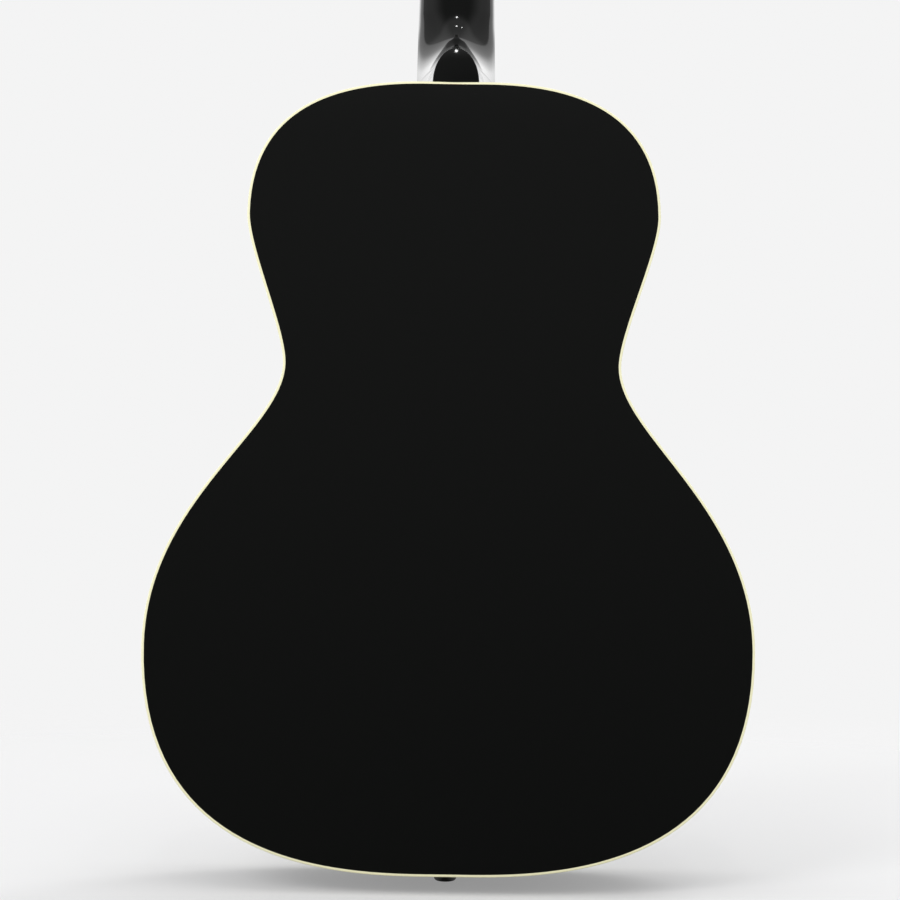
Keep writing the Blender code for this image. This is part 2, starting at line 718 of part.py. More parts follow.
def neck_sections():
    sections = []
    last_ring = []
    for x, y in heel_section(BODY_END_Z, 0):
        station = 4.0 if abs(x) < GLUE else station_at(abs(x), 4)
        last_ring.append((x, TOP_Y + y, outline_point(station).y + GLUE))
    sections.append(last_ring)
    rises = [HEEL_CAP_LENGTH * s for s in (0.25, 0.55, 0.8, 0.94, 1.0)]
    rises += [HEEL_CAP_LENGTH + HEEL_REACH * s for s in (0.04, 0.1, 0.18, 0.28, 0.42, 0.6, 0.8, 1.0)]
    shaft_start = BODY_END_Z + rises[-1]
    heights = [BODY_END_Z + rise for rise in rises]
    heights += [shaft_start + (NUT_Z - shaft_start) * s for s in (0.35, 0.7, 1.0)]
    for z in heights:
        sections.append([(x, TOP_Y + y, z) for x, y in heel_section(z, z - BODY_END_Z)])
    crown = [HEAD_LENGTH - HEAD_CROWN * s for s in (1.0, 0.7, 0.4, 0.2, 0.07, 0.0)]
    shoulders = [HEAD_SHOULDER * s for s in (0.0, 0.25, 0.5, 0.75, 1.0)]
    for along in shoulders + crown:
        share = min(along / HEAD_SHOULDER, 1)
        depth = NECK_DEPTH_AT_NUT + (HEAD_THICKNESS - NECK_DEPTH_AT_NUT) * share
        squareness = 0.85 + (0.1 - 0.85) * share**0.6
        half = half_section(head_width_at(along), depth, squareness, 0, 0)
        sections.append([head_point(x, y, along) for x, y in whole_section(half)])
    return sections


def make_neck():
    neck = add_object("neck", swept_mesh("neck", neck_sections()), "black_lacquer")
    half = TENON_WIDTH / 2
    cut(neck, box_mesh(
        "tenon",
        (-half, TOP_Y + BINDING_HEIGHT + 2 * GLUE, BODY_END_Z - TENON_LENGTH),
        (half, TOP_Y + TENON_DEPTH, BODY_END_Z + 4 * MM),
    ), "UNION")
    channel = ROD_CHANNEL_WIDTH / 2
    cut(neck, box_mesh(
        "channel",
        (-channel, TOP_Y - MM, BODY_END_Z + HEEL_CAP_LENGTH / 2),
        (channel, TOP_Y + ROD_DEPTH + ROD_NUT_RADIUS + GLUE, HEAD_Z + ROD_PAST_NUT + 2 * MM),
    ))
    for side in (1, -1):
        for row in range(3):
            hole = turned_mesh(
                "hole", [(-5 * MM, POST_HOLE_RADIUS), (HEAD_THICKNESS + 5 * MM, POST_HOLE_RADIUS)], "Y", 16
            )
            hole.transform(move_by(x=side * POST_OFFSET, z=FIRST_POST + row * POST_SPACING))
            hole.transform(head_matrix())
            cut(neck, hole)


def head_matrix():
    return Matrix.Translation((0, TOP_Y, HEAD_Z)) @ Matrix.Rotation(-HEAD_ANGLE, 4, "X")


def make_heel_cap():
    low = BODY_END_Z + GLUE
    face = back_y(0, BODY_END_Z)
    outline = []
    for share in (0.0, 0.3, 0.55, 0.75, 0.9, 0.97):
        rise = share * HEEL_CAP_LENGTH
        outline.append((heel_cap_half_width(rise), low + rise))
    outline += [(0, low + HEEL_CAP_LENGTH)]
    outline += [(-x, z) for x, z in reversed(outline[:-1])]
    rings = [[(x, y, z) for x, z in outline] for y in (face - HEEL_CAP_THICKNESS, face)]
    add_object("heel_cap", swept_mesh("heel_cap", rings), "black_lacquer")


def camber(x):
    return x * x / (2 * FRETBOARD_RADIUS)


def fretboard_section(z, raised):
    half = board_width_at(z) / 2
    ring = [(half, TOP_Y - GLUE, z)]
    for share in (1, 0.4, -0.4, -1):
        x = half * share
        ring.append((x, TOP_Y - FRETBOARD_THICKNESS - raised + camber(x), z))
    return ring + [(-half, TOP_Y - GLUE, z)]


def fret_z(number):
    return NUT_Z - SCALE_LENGTH * (1 - 2 ** (-number / 12))


def make_fretboard():
    """The board with its frets standing in it, as one solid from the nut to its end over the body."""
    step = 0.1 * MM
    sections = [fretboard_section(NUT_Z - GLUE, 0)]
    for number in range(1, FRET_COUNT + 1):
        z = fret_z(number)
        half = FRET_WIDTH / 2
        for dz, raised in (
            (half + step, 0), (half, 0.35), (0.35 * half, 1),
            (-0.35 * half, 1), (-half, 0.35), (-half - step, 0),
        ):
            sections.append(fretboard_section(z + dz, raised * FRET_HEIGHT))
    sections.append(fretboard_section(BOARD_END_Z, 0))
    add_object("fretboard", swept_mesh("fretboard", sections), "rosewood")


def string_radius(index):
    return STRING_DIAMETERS[index - 1] / 2


def nut_string_y(index):
    """The height of a string's middle at the nut, as a Y."""
    x = string_x(index, NUT_STRING_SPREAD)
    return TOP_Y - FRETBOARD_THICKNESS - STRING_ABOVE_BOARD_AT_NUT - string_radius(index) + camber(x)


def make_nut():
    half = NUT_WIDTH / 2
    top = TOP_Y - NUT_HEIGHT
    profile = [(-half, TOP_Y - GLUE), (-half, top + camber(half))]
    for index in range(6, 0, -1):
        x = string_x(index, NUT_STRING_SPREAD)
        wide = string_radius(index) + 0.35 * MM
        floor = nut_string_y(index) + string_radius(index) + 0.15 * MM
        edge = top + camber(x)
        profile += [(x - wide, edge), (x - wide, floor), (x + wide, floor), (x + wide, edge)]
    profile += [(half, top + camber(half)), (half, TOP_Y - GLUE)]
    rings = [[(x, y, z) for x, y in profile] for z in (NUT_Z, NUT_Z + NUT_LENGTH - GLUE)]
    add_object("nut", swept_mesh("nut", rings), "bone")


def make_truss_rod():
    start = BODY_END_Z + HEEL_CAP_LENGTH / 2 + 2 * MM
    end = HEAD_Z + ROD_PAST_NUT
    step = end - ROD_NUT_LENGTH
    profile = [(start, ROD_RADIUS), (step, ROD_RADIUS), (step, ROD_NUT_RADIUS), (end, ROD_NUT_RADIUS)]
    mesh = turned_mesh("truss_rod", profile, "Z")
    mesh.transform(move_by(y=TOP_Y + ROD_DEPTH))
    add_object("truss_rod", mesh, "steel")


def make_truss_rod_cover(head):
    half = COVER_WIDTH / 2
    tip = COVER_WIDTH / 4
    outline = []
    for k in range(ROUND_SIDES + 1):
        turn = math.pi * k / ROUND_SIDES
        outline.append((tip * math.cos(turn), COVER_LENGTH - tip * (1 - math.sin(turn))))
    outline += [(-half, COVER_SHOULDER), (-half, COVER_START), (half, COVER_START), (half, COVER_SHOULDER)]
    rings = [[(x, y, z) for x, z in outline] for y in (-GLUE, -GLUE - COVER_THICKNESS)]
    add_object("truss_rod_cover", swept_mesh("truss_rod_cover", rings), "black_lacquer", head)


# Bridge pieces


def saddle_z(x):
    share = 0.5 - x / SADDLE_STRING_SPREAD
    return NUT_Z - SCALE_LENGTH - COMPENSATION_TREBLE - (COMPENSATION_BASS - COMPENSATION_TREBLE) * share


def saddle_mesh(name, spare, low, high):
    """A bar that follows the compensated line, with its top on the strings' camber."""
    sections = []
    half = SADDLE_LENGTH / 2 + spare
    wide = SADDLE_THICKNESS / 2 + spare
    for share in (-1, -0.5, 0, 0.5, 1):
        x = half * share
        z = saddle_z(x)
        top = high + camber(x)
        crest = wide * 0.6
        sections.append([(x, low, z - wide), (x, top, z - crest), (x, top, z + crest), (x, low, z + wide)])
    return swept_mesh(name, sections)


def make_bridge():
    front = SADDLE_Z + SADDLE_TO_BRIDGE_FRONT
    sections = []
    half = BRIDGE_WIDTH / 2
    for x in (-half, -half + 3 * MM, -half + BRIDGE_WING, half - BRIDGE_WING, half - 3 * MM, half):
        at_end = abs(x) > half - 4 * MM
        tall = BRIDGE_WING_HEIGHT if at_end else BRIDGE_HEIGHT
        trim = 2.5 * MM if abs(x) == half else 0.0
        rear = front - BRIDGE_LENGTH
        low, high = TOP_Y - GLUE, TOP_Y - GLUE - tall
        soft = 1.5 * MM
        sections.append([
            (x, low, rear + trim), (x, high + soft, rear + trim), (x, high, rear + trim + soft),
            (x, high, front - trim - soft), (x, high + soft, front - trim), (x, low, front - trim),
        ])
    bridge = add_object("bridge", swept_mesh("bridge", sections), "rosewood")
    high = TOP_Y - GLUE - BRIDGE_HEIGHT
    spare = GLUE
    wide = SADDLE_THICKNESS / 2 + spare
    slot = []
    for share in (-1, 1):
        x = (SADDLE_LENGTH / 2 + spare) * share
        z = saddle_z(x)
        slot.append([(x, y, z + dz) for y, dz in (
            (high + SADDLE_SEAT + spare, -wide), (high - 2 * MM, -wide), (high - 2 * MM, wide),
            (high + SADDLE_SEAT + spare, wide))])
    cut(bridge, swept_mesh("slot", slot))
    drill_pin_holes(bridge, high - 2 * MM, TOP_Y + MM)


def make_saddle():
    low = TOP_Y - GLUE - BRIDGE_HEIGHT + SADDLE_SEAT
    high = TOP_Y - STRING_ABOVE_TOP_AT_SADDLE + GLUE
    add_object("saddle", saddle_mesh("saddle", 0, low, high), "bone")


def make_bridge_plate():
    """A thin plate under the bridge, whose slanted ends lie beside the crossed braces."""
    front = PIN_Z + BRIDGE_PLATE_LENGTH / 2
    rear = front - BRIDGE_PLATE_LENGTH
    beside = X_BRACE_WIDTH / 2 / math.cos(X_BRACE_ANGLE) + BRIDGE_PLATE_TO_BRACE
    outline = []
    for z, side in ((front, 1), (rear, 1), (rear, -1), (front, -1)):
        outline.append((side * ((X_BRACE_Z - z) * math.tan(X_BRACE_ANGLE) - beside), z))
    low, high = UNDER_TOP_Y, UNDER_TOP_Y + BRIDGE_PLATE_THICKNESS
    mesh = swept_mesh("bridge_plate", [[(x, y, z) for x, z in outline] for y in (low, high)])
    plate = add_object("bridge_plate", mesh, "mahogany")
    drill_pin_holes(plate, low - MM, high + MM)


def make_bridge_pins():
    seat = TOP_Y - GLUE - BRIDGE_HEIGHT - GLUE
    profile = [
        (PIN_LENGTH, PIN_TIP_RADIUS), (0, PIN_RADIUS),
        (0, PIN_HEAD_RADIUS), (-0.4 * PIN_HEAD_HEIGHT, PIN_HEAD_RADIUS),
        (-0.8 * PIN_HEAD_HEIGHT, PIN_HEAD_RADIUS * 0.7), (-PIN_HEAD_HEIGHT, PIN_HEAD_RADIUS * 0.25),
    ]
    for index in range(1, 7):
        name = f"bridge_pin_{index}"
        obj = add_object(name, turned_mesh(name, profile, "Y", 10), "ivory_plastic")
        obj.location = (string_x(index, SADDLE_STRING_SPREAD), seat, PIN_Z)


def make_pickguard():
    """A teardrop plate beside the soundhole, on the treble side."""
    start = SOUNDHOLE_RADIUS + PICKGUARD_MARGIN
    drop = PICKGUARD_DROP
    ring = []
    for k in range(PICKGUARD_STEPS + 1):
        turn = PICKGUARD_UPPER + (PICKGUARD_LOWER - PICKGUARD_UPPER) * k / PICKGUARD_STEPS
        ring.append(Vector((math.cos(turn), math.sin(turn))) * start)
    upper, lower = ring[0], ring[-1]
    tail = Vector((lower.x + 0.5 * PICKGUARD_WIDTH, -drop))
    widest = Vector((start + PICKGUARD_WIDTH, -0.42 * drop))
    out = Vector((0.5 * PICKGUARD_WIDTH, 0))
    up = Vector((0, 0.32 * drop))
    edges = [
        (lower, lower - up, tail - 0.9 * out, tail),
        (tail, tail + 0.9 * out, widest - up, widest),
        (widest, widest + 1.3 * up, upper + 1.3 * out, upper),
    ]
    outline = list(ring)
    for edge in edges:
        outline += [cubic(*edge, k / PICKGUARD_STEPS) for k in range(1, PICKGUARD_STEPS + 1)]
    outline.pop()
    low, high = TOP_Y - GLUE, TOP_Y - GLUE - PICKGUARD_THICKNESS
    rings = [[(point.x, y, HOLE_Z + point.y) for point in outline] for y in (low, high)]
    add_object("pickguard", swept_mesh("pickguard", rings), "tortoise")


# Strings


def post_place(index):
    """(side, distance from the nut) of a string's tuning post: 1 to 3 treble, 4 to 6 bass."""
    side = 1 if index <= 3 else -1
    row = index - 1 if index <= 3 else 6 - index
    return side, FIRST_POST + row * POST_SPACING


def winding_points(index):
    """The string's turns round its post, in the headstock's (x, back, along) frame, from the nut side."""
    side, along = post_place(index)
    radius = POST_WAIST_RADIUS + string_radius(index) + GLUE
    start_x = string_x(index, NUT_STRING_SPREAD)
    centre = Vector((side * POST_OFFSET, along))
    to_nut = Vector((start_x, 0)) - centre
    lean = math.acos(radius / to_nut.length)
    facing = math.atan2(to_nut.y, to_nut.x)
    first = facing - side * lean
    pitch = STRING_DIAMETERS[index - 1] + WINDING_GAP
    high = -0.62 * POST_ABOVE_FACE
    steps = round(WINDING_TURNS * WINDING_POINTS)
    points = []
    for k in range(steps + 1):
        turns = k / WINDING_POINTS
        angle = first - side * 2 * math.pi * turns
        points.append((
            centre.x + radius * math.cos(angle), high + pitch * turns, centre.y + radius * math.sin(angle)
        ))
    return points


def string_route(index):
    """The string from its ball end, over the saddle and nut and round its post."""
    radius = string_radius(index)
    x = string_x(index, SADDLE_STRING_SPREAD)
    under = UNDER_TOP_Y + BRIDGE_PLATE_THICKNESS
    drop_z = PIN_Z + STRING_DROP
    over = TOP_Y - STRING_ABOVE_TOP_AT_SADDLE - radius + camber(x)
    bridge_top = TOP_Y - GLUE - BRIDGE_HEIGHT
    rest_z = saddle_z(x)
    nut_x = string_x(index, NUT_STRING_SPREAD)
    nut_y = nut_string_y(index)
    ball = BALL_END_RADIUS / radius
    route = [
        ((x, under + 4.4 * MM, drop_z), ball * 0.8), ((x, under + 4.0 * MM, drop_z), ball),
        ((x, under + 1.0 * MM, drop_z), ball), ((x, under + 0.6 * MM, drop_z), ball * 0.8),
        ((x, under + 0.5 * MM, drop_z), 1), ((x, bridge_top + 1.6 * MM, drop_z), 1),
        ((x, bridge_top - 0.2 * MM, drop_z + 0.35 * MM), 1),
        ((x, bridge_top - 1.1 * MM, drop_z + 1.3 * MM), 1),
        ((x, over + 0.25 * MM, rest_z - 1.6 * MM), 1), ((x, over, rest_z), 1),
        ((nut_x, nut_y, NUT_Z), 1), ((nut_x, nut_y, HEAD_Z - MM), 1),
    ]
    wound = [head_point(*point) for point in winding_points(index)]
    return route + [(point, 1) for point in wound]


def least_gap(points, thickness, apart):
    """The least clear distance between stretches of a wound tube that are a few points apart."""
    least = 1.0
    for i, first in enumerate(points):
        for second in points[i + apart:]:
            least = min(least, (Vector(first) - Vector(second)).length - thickness)
    return least


def make_strings():
    for index in range(1, 7):
        name = f"string_{index}"
        curve = bpy.data.curves.new(name, "CURVE")
        curve.dimensions = "3D"
        curve.bevel_depth = string_radius(index)
        curve.bevel_resolution = 1
        curve.use_fill_caps = True
        route = string_route(index)
        spline = curve.splines.new("POLY")
        spline.points.add(len(route) - 1)
        for point, (place, thick) in zip(spline.points, route):
            point.co = (*place, 1)
            point.radius = thick
        finish = "steel" if index <= 2 else "bronze_wire"
        curve.materials.append(material(finish))
        obj = bpy.data.objects.new(name, curve)
        bpy.context.scene.collection.objects.link(obj)
        gap = least_gap(winding_points(index), STRING_DIAMETERS[index - 1], WINDING_POINTS // 2)
        print(f"{name}: least gap between its turns {gap / MM:.2f} mm")


# Tuning machines


def gear_mesh():
    """The gear, with its teeth slanted to follow the worm's thread."""
    tooth = 2 * math.pi / GEAR_TEETH
    slant = THREAD_PITCH / (2 * math.pi * WORM_PITCH_RADIUS)
    tip = GEAR_PITCH_RADIUS + TOOTH_ADDENDUM
    root = GEAR_PITCH_RADIUS - TOOTH_DEDENDUM
    rings = []
    for end in (-1, 1):
        y = end * GEAR_WIDTH / 2
        twist = y * slant / GEAR_PITCH_RADIUS
        ring = []
        for k in range(GEAR_TEETH):
            middle = (k + 0.5) * tooth + twist
            for share, radius in ((-0.62, root), (-0.32, tip), (0.32, tip), (0.62, root)):
                angle = middle + share * TOOTH_SHARE * tooth
                ring.append((radius * math.sin(angle), WORM_Y + y, radius * math.cos(angle)))
        rings.append(ring)
    return swept_mesh("gear", rings)


def post_mesh():
    behind = WORM_Y + GEAR_WIDTH / 2
    profile = [
        (behind + 1.4 * MM, POST_RADIUS * 0.7), (behind - MM, POST_RADIUS),
        (-2 * MM, POST_RADIUS), (-4 * MM, POST_WAIST_RADIUS), (-0.75 * POST_ABOVE_FACE, POST_WAIST_RADIUS),
        (-0.86 * POST_ABOVE_FACE, POST_RADIUS), (-0.96 * POST_ABOVE_FACE, POST_RADIUS),
        (-POST_ABOVE_FACE, POST_RADIUS * 0.8),
    ]
    return turned_mesh("post", profile, "Y")


def worm_mesh(reach):
    """The worm's shaft: two journals, a core between them and the end that goes into the button."""
    core = WORM_PITCH_RADIUS - TOOTH_DEDENDUM
    ear = EAR_OFFSET - PLATE_THICKNESS
    profile = [
        (-EAR_OFFSET - PLATE_THICKNESS - MM, SHAFT_RADIUS),
        (-ear + 0.2 * MM, SHAFT_RADIUS), (-ear + 0.4 * MM, core),
        (ear - 0.4 * MM, core), (ear - 0.2 * MM, SHAFT_RADIUS), (reach, SHAFT_RADIUS),
    ]
    return turned_mesh("worm", profile, "X")


def thread_mesh():
    """One right-handed thread; where it faces the gear, at -Z, it is centred on the gear's middle."""
    core = WORM_PITCH_RADIUS - TOOTH_DEDENDUM - 0.3 * MM
    tip = WORM_PITCH_RADIUS + TOOTH_ADDENDUM
    wide = TOOTH_SHARE * THREAD_PITCH
    rings = []
    steps = round(WORM_TURNS * WORM_STEPS)
    for k in range(steps + 1):
        turn = 2 * math.pi * (k / WORM_STEPS - WORM_TURNS / 2)
        x = THREAD_PITCH * turn / (2 * math.pi)
        angle = turn - math.pi / 2
        ring = []
        for dx, radius in ((-0.75, core), (-0.3, tip), (0.3, tip), (0.75, core)):
            ring.append((x + dx * wide, radius * math.cos(angle), radius * math.sin(angle)))
        rings.append(ring)
    return swept_mesh("thread", rings)


def button_mesh():
    """A flattened oval button that grows from a small collar, on the X axis."""
    sections = []
    for along, tall, thick in (
        (0, 0.34, 0.62), (0.08, 0.40, 0.72), (0.25, 0.72, 0.88), (0.45, 0.94, 1.0),
        (0.65, 1.0, 1.0), (0.85, 0.90, 0.86), (0.96, 0.68, 0.6), (1.0, 0.45, 0.34),
    ):
        ring = []
        for k in range(ROUND_SIDES):
            turn = 2 * math.pi * k / ROUND_SIDES
            ring.append((
                along * BUTTON_LENGTH,
                thick * BUTTON_THICKNESS / 2 * math.cos(turn),
                tall * BUTTON_HEIGHT / 2 * math.sin(turn),
            ))
        sections.append(ring)
    return swept_mesh("button", sections)


def plate_of_three(name, frame):
    """A stamped plate with three posts' holes and a pair of bent-up ears for each worm."""
    reach = POST_SPACING + PLATE_END
    half = PLATE_WIDTH / 2
    back = PLATE_Y + PLATE_THICKNESS
    plate = add_object(name, box_mesh(name, (-half, PLATE_Y, -reach), (half, back, reach)), "nickel", frame)
    plate.data = plate.data.copy()
    bore = POST_RADIUS + SHAFT_CLEARANCE + GLUE
    bearing = SHAFT_RADIUS + SHAFT_CLEARANCE
    ear_top = WORM_Y + EAR_WIDTH / 2
    for row in (-1, 0, 1):
        middle = row * POST_SPACING
        hole = turned_mesh("hole", [(PLATE_Y - MM, bore), (back + MM, bore)], "Y", 12)
        hole.transform(move_by(z=middle))
        cut_local(plate, hole)
        worm_z = middle + CENTRE_DISTANCE
        for side in (-1, 1):
            x = side * EAR_OFFSET
            low, high = sorted((x, x + side * PLATE_THICKNESS))
            foot = back - 0.5 * PLATE_THICKNESS
            near, far = worm_z - EAR_WIDTH / 2, worm_z + EAR_WIDTH / 2
            cut_local(plate, box_mesh("ear", (low, foot, near), (high, ear_top, far)), "UNION")
        hole = turned_mesh("hole", [(-half, bearing), (half, bearing)], "X")
        hole.transform(move_by(y=WORM_Y, z=worm_z))
        cut_local(plate, hole)
    return plate


def cut_local(target, mesh, operation="DIFFERENCE"):
    """As cut, with the tool given in the target's own frame."""
    bpy.context.view_layer.update()
    mesh.transform(target.matrix_world)
    cut(target, mesh, operation)


def add_frame(name, location, turn, parent):
    frame = bpy.data.objects.new(name, None)
    bpy.context.scene.collection.objects.link(frame)
    frame.parent = parent
    frame.location = location
    frame.rotation_euler = turn
    return frame


def make_tuners(head):
    middle = FIRST_POST + POST_SPACING
    for name, side in (("tuner_plate_treble", 1), ("tuner_plate_bass", -1)):
        turn = 0 if side == 1 else math.pi
        frame = add_frame(name + "_place", (side * POST_OFFSET, 0, middle), (0, turn, 0), head)
        plate_of_three(name, frame)
    edge = HEAD_UPPER_WIDTH / 2 - POST_OFFSET
    button_start = edge + BUTTON_FROM_EDGE
    for index in range(1, 7):
        side, along = post_place(index)
        turn = 0 if side == 1 else math.pi
        frame = add_frame(f"tuner_{index}_place", (side * POST_OFFSET, 0, along), (0, turn, 0), head)
        post = add_object(f"tuner_post_{index}", post_mesh(), "nickel", frame)
        cut_local(post, gear_mesh(), "UNION")
        through = 2 * POST_RADIUS
        eye = turned_mesh("eye", [(-through, POST_EYE_RADIUS), (through, POST_EYE_RADIUS)], "X", 8)
        eye.transform(move_by(y=-0.7 * POST_ABOVE_FACE))
        cut_local(post, eye)
        shaft_frame = add_frame(f"tuner_{index}_shaft", (0, WORM_Y, CENTRE_DISTANCE), (0, 0, 0), frame)
        reach = button_start + BUTTON_SOCKET - GLUE
        worm = add_object(f"tuner_worm_{index}", worm_mesh(reach), "nickel", shaft_frame)
        cut_local(worm, thread_mesh(), "UNION")
        button_frame = add_frame(f"tuner_{index}_button", (button_start, 0, 0), (0, 0, 0), shaft_frame)
        button = add_object(f"tuner_button_{index}", button_mesh(), "ivory_plastic", button_frame)
        bore = SHAFT_RADIUS + GLUE
        cut_local(button, turned_mesh("socket", [(-MM, bore), (BUTTON_SOCKET, bore)], "X"))


def main():
    clear_scene()
    make_back()
    make_soundboard()
    make_sides()
    make_bindings()
    make_linings()
    make_blocks()
    make_back_braces()
    make_x_braces()
    make_end_pin()
    make_neck()
    make_heel_cap()
    make_fretboard()
    make_nut()
    make_truss_rod()
    make_bridge()
    make_saddle()
    make_bridge_plate()
    make_bridge_pins()
    make_pickguard()
    make_strings()
    head = add_frame("headstock_place", (0, TOP_Y, HEAD_Z), (-HEAD_ANGLE, 0, 0), None)
    make_truss_rod_cover(head)
    make_tuners(head)


main()
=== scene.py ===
# %% [markdown]
# # A black flat-top guitar, dressed for the camera
#
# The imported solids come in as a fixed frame, in metres: +Z runs up the neck, the soundboard faces -Y and
# the treble side is +X. Each piece below is laid on those solids from the same sizes.

# %% Load the frame
import json
from math import acos, atan2, cos, pi, radians, sin, sqrt

import bmesh
import bpy
from mathutils import Matrix, Vector

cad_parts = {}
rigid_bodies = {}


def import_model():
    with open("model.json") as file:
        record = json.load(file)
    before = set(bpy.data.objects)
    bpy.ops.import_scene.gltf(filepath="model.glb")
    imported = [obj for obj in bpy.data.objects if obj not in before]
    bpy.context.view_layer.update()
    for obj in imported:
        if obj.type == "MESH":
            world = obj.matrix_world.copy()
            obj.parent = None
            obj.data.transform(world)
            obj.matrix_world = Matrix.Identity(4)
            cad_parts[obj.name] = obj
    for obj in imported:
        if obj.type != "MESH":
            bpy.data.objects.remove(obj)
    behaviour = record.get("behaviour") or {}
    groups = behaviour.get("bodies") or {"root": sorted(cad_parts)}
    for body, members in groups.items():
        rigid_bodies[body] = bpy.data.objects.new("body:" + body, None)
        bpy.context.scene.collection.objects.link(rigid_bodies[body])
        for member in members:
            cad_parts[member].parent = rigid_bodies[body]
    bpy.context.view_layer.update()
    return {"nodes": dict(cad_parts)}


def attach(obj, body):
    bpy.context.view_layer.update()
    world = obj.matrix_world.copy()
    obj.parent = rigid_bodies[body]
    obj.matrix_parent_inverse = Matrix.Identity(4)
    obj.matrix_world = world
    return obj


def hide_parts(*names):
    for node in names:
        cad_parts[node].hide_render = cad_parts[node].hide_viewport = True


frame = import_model()
MM = 0.001

# %% [markdown]
# ## The camera
#
# The photograph looks at the back from about a metre away and a little upwards, with the neck leaving the
# frame at the top. A camera could be turned by hand until the outlines meet. Here its place, tilt and lens
# were solved from the outline of the body, which is closer than the eye, so they are typed in.

# %% Camera
CAMERA_PLACE, CAMERA_LENS = (0.00058, 1.10, 0.19336), 68.54
CAMERA_TILT, CAMERA_ROLL = radians(94.136), radians(0.787)


def add_object(name, data):
    thing = bpy.data.objects.new(name, data)
    bpy.context.scene.collection.objects.link(thing)
    return thing


camera_data = bpy.data.cameras.new("camera")
camera_data.lens = CAMERA_LENS
camera_data.sensor_width = 36
camera = add_object("camera", camera_data)
look = Matrix.Rotation(pi, 4, "Z") @ Matrix.Rotation(CAMERA_TILT, 4, "X")
roll = Matrix.Rotation(CAMERA_ROLL, 4, "Z")
camera.matrix_world = Matrix.Translation(CAMERA_PLACE) @ look @ roll
bpy.context.scene.camera = camera
bpy.context.scene.view_settings.view_transform = "Standard"
print("camera at", list(camera.matrix_world.translation))

# %% [markdown]
# ## Shader maths in Python
#
# A material is a graph of nodes. It could be wired link by link, but then a short formula takes many lines.
# Wrapping a socket in a small class lets plus, minus and times add the Math nodes, so the recipes below
# read like formulas. Every other node comes from one method.


# %% Sockets and nodes
class Value:
    """A socket that takes part in arithmetic."""

    def __init__(self, nodes, socket):
        self.nodes = nodes
        self.socket = socket

    def sum_up(self, operation, first, second):
        return self.nodes.node("Math", {"operation": operation}, {0: first, 1: second})

    def __add__(self, other):
        return self.sum_up("ADD", self, other)

    __radd__ = __add__

    def __sub__(self, other):
        return self.sum_up("SUBTRACT", self, other)

    def __rsub__(self, other):
        return self.sum_up("SUBTRACT", other, self)

    def __mul__(self, other):
        return self.sum_up("MULTIPLY", self, other)

    __rmul__ = __mul__


class Nodes:
    """A node tree that is filled by calls."""

    def __init__(self, tree):
        self.tree = tree

    def give(self, socket, given):
        if isinstance(given, Value):
            self.tree.links.new(given.socket, socket)
        else:
            socket.default_value = given

    def node(self, kind, settings, inputs, output=0):
        made = self.tree.nodes.new("ShaderNode" + kind)
        for key, setting in settings.items():
            setattr(made, key, setting)
        for key, given in inputs.items():
            self.give(made.inputs[key], given)
        return Value(self, made.outputs[output])

    def ease(self, value, start, end, first=0.0, last=1.0):
        """Goes smoothly from first to last while value goes from start to end."""
        return self.node(
            "MapRange", {"interpolation_type": "SMOOTHSTEP"},
            {"Value": value, "From Min": start, "From Max": end, "To Min": first, "To Max": last},
        )


print("socket arithmetic ready")

# %% [markdown]
# ## The studio
#
# Black lacquer shows its room, not its own colour. Panels could be modelled around the guitar, as a
# photographer sets up boards. The room is painted into the world instead, because then nothing of it stands
# in the picture: a white backdrop behind the guitar, a dark space behind the camera and paler walls to both
# sides. That is why the flat back reads black while the rounded neck has pale edges. The world gives plain
# light to matt surfaces, the pale backdrop to the camera and this room to reflections.

# %% World
world = bpy.data.worlds.new("studio")
bpy.context.scene.world = world
world.use_nodes = True
studio = Nodes(world.node_tree)
BACKDROP = 0.905
SOFT_LIGHT = 0.80
direction = studio.node("TexCoord", {}, {}, "Generated")
sideways, towards_camera, upwards = (
    studio.node("SeparateXYZ", {}, {0: direction}, axis) for axis in "XYZ"
)
aside = studio.node("Math", {"operation": "ABSOLUTE"}, {0: sideways})
backdrop = studio.ease(towards_camera, -0.20, -0.12, 1.0, 0.0) * studio.ease(upwards, -0.25, 0.0)
backdrop_level = (
    studio.ease(towards_camera, -0.95, -0.80, 1.3, 2.6) - studio.ease(towards_camera, -0.70, -0.45)
)
dark_room = studio.ease(upwards, -0.2, 0.6, 0.03, 0.12) + studio.ease(upwards, 0.38, 0.6) * 0.35
walls = studio.ease(aside, 0.25, 0.80) * 0.42
room = backdrop * backdrop_level + (1 - backdrop) * (dark_room + walls)
camera_ray, glass_ray, gloss_ray = (
    studio.node("LightPath", {}, {}, f"Is {kind} Ray") for kind in ("Camera", "Transmission", "Glossy")
)
seen = camera_ray.sum_up("MAXIMUM", camera_ray, glass_ray)
level = seen * BACKDROP + (1 - seen) * (gloss_ray * room + (1 - gloss_ray) * SOFT_LIGHT)
background = world.node_tree.nodes["Background"]
background.inputs["Color"].default_value = (0.998, 0.998, 1.0, 1)
studio.give(background.inputs["Strength"], level)
print("world nodes:", len(world.node_tree.nodes))

# %% [markdown]
# ## The lamps
#
# A large soft lamp above the camera's left shoulder gives the pieces their light and shade, and another
# does so on the front. A sun would do that too, but with hard shadows. Small lamps high in the room leave
# the bright spots that a rounded glossy neck shows. They stand above the angle at which the flat back would
# mirror them.


# %% Lamps
def add_lamp(name, place, target, width, power):
    lamp = bpy.data.lights.new(name, "AREA")
    lamp.shape = "DISK"
    lamp.size = width
    lamp.energy = power
    holder = add_object(name, lamp)
    aim = (Vector(target) - Vector(place)).to_track_quat("-Z", "Y")
    holder.matrix_world = Matrix.Translation(place) @ aim.to_matrix().to_4x4()
    holder.visible_camera = False
    return holder


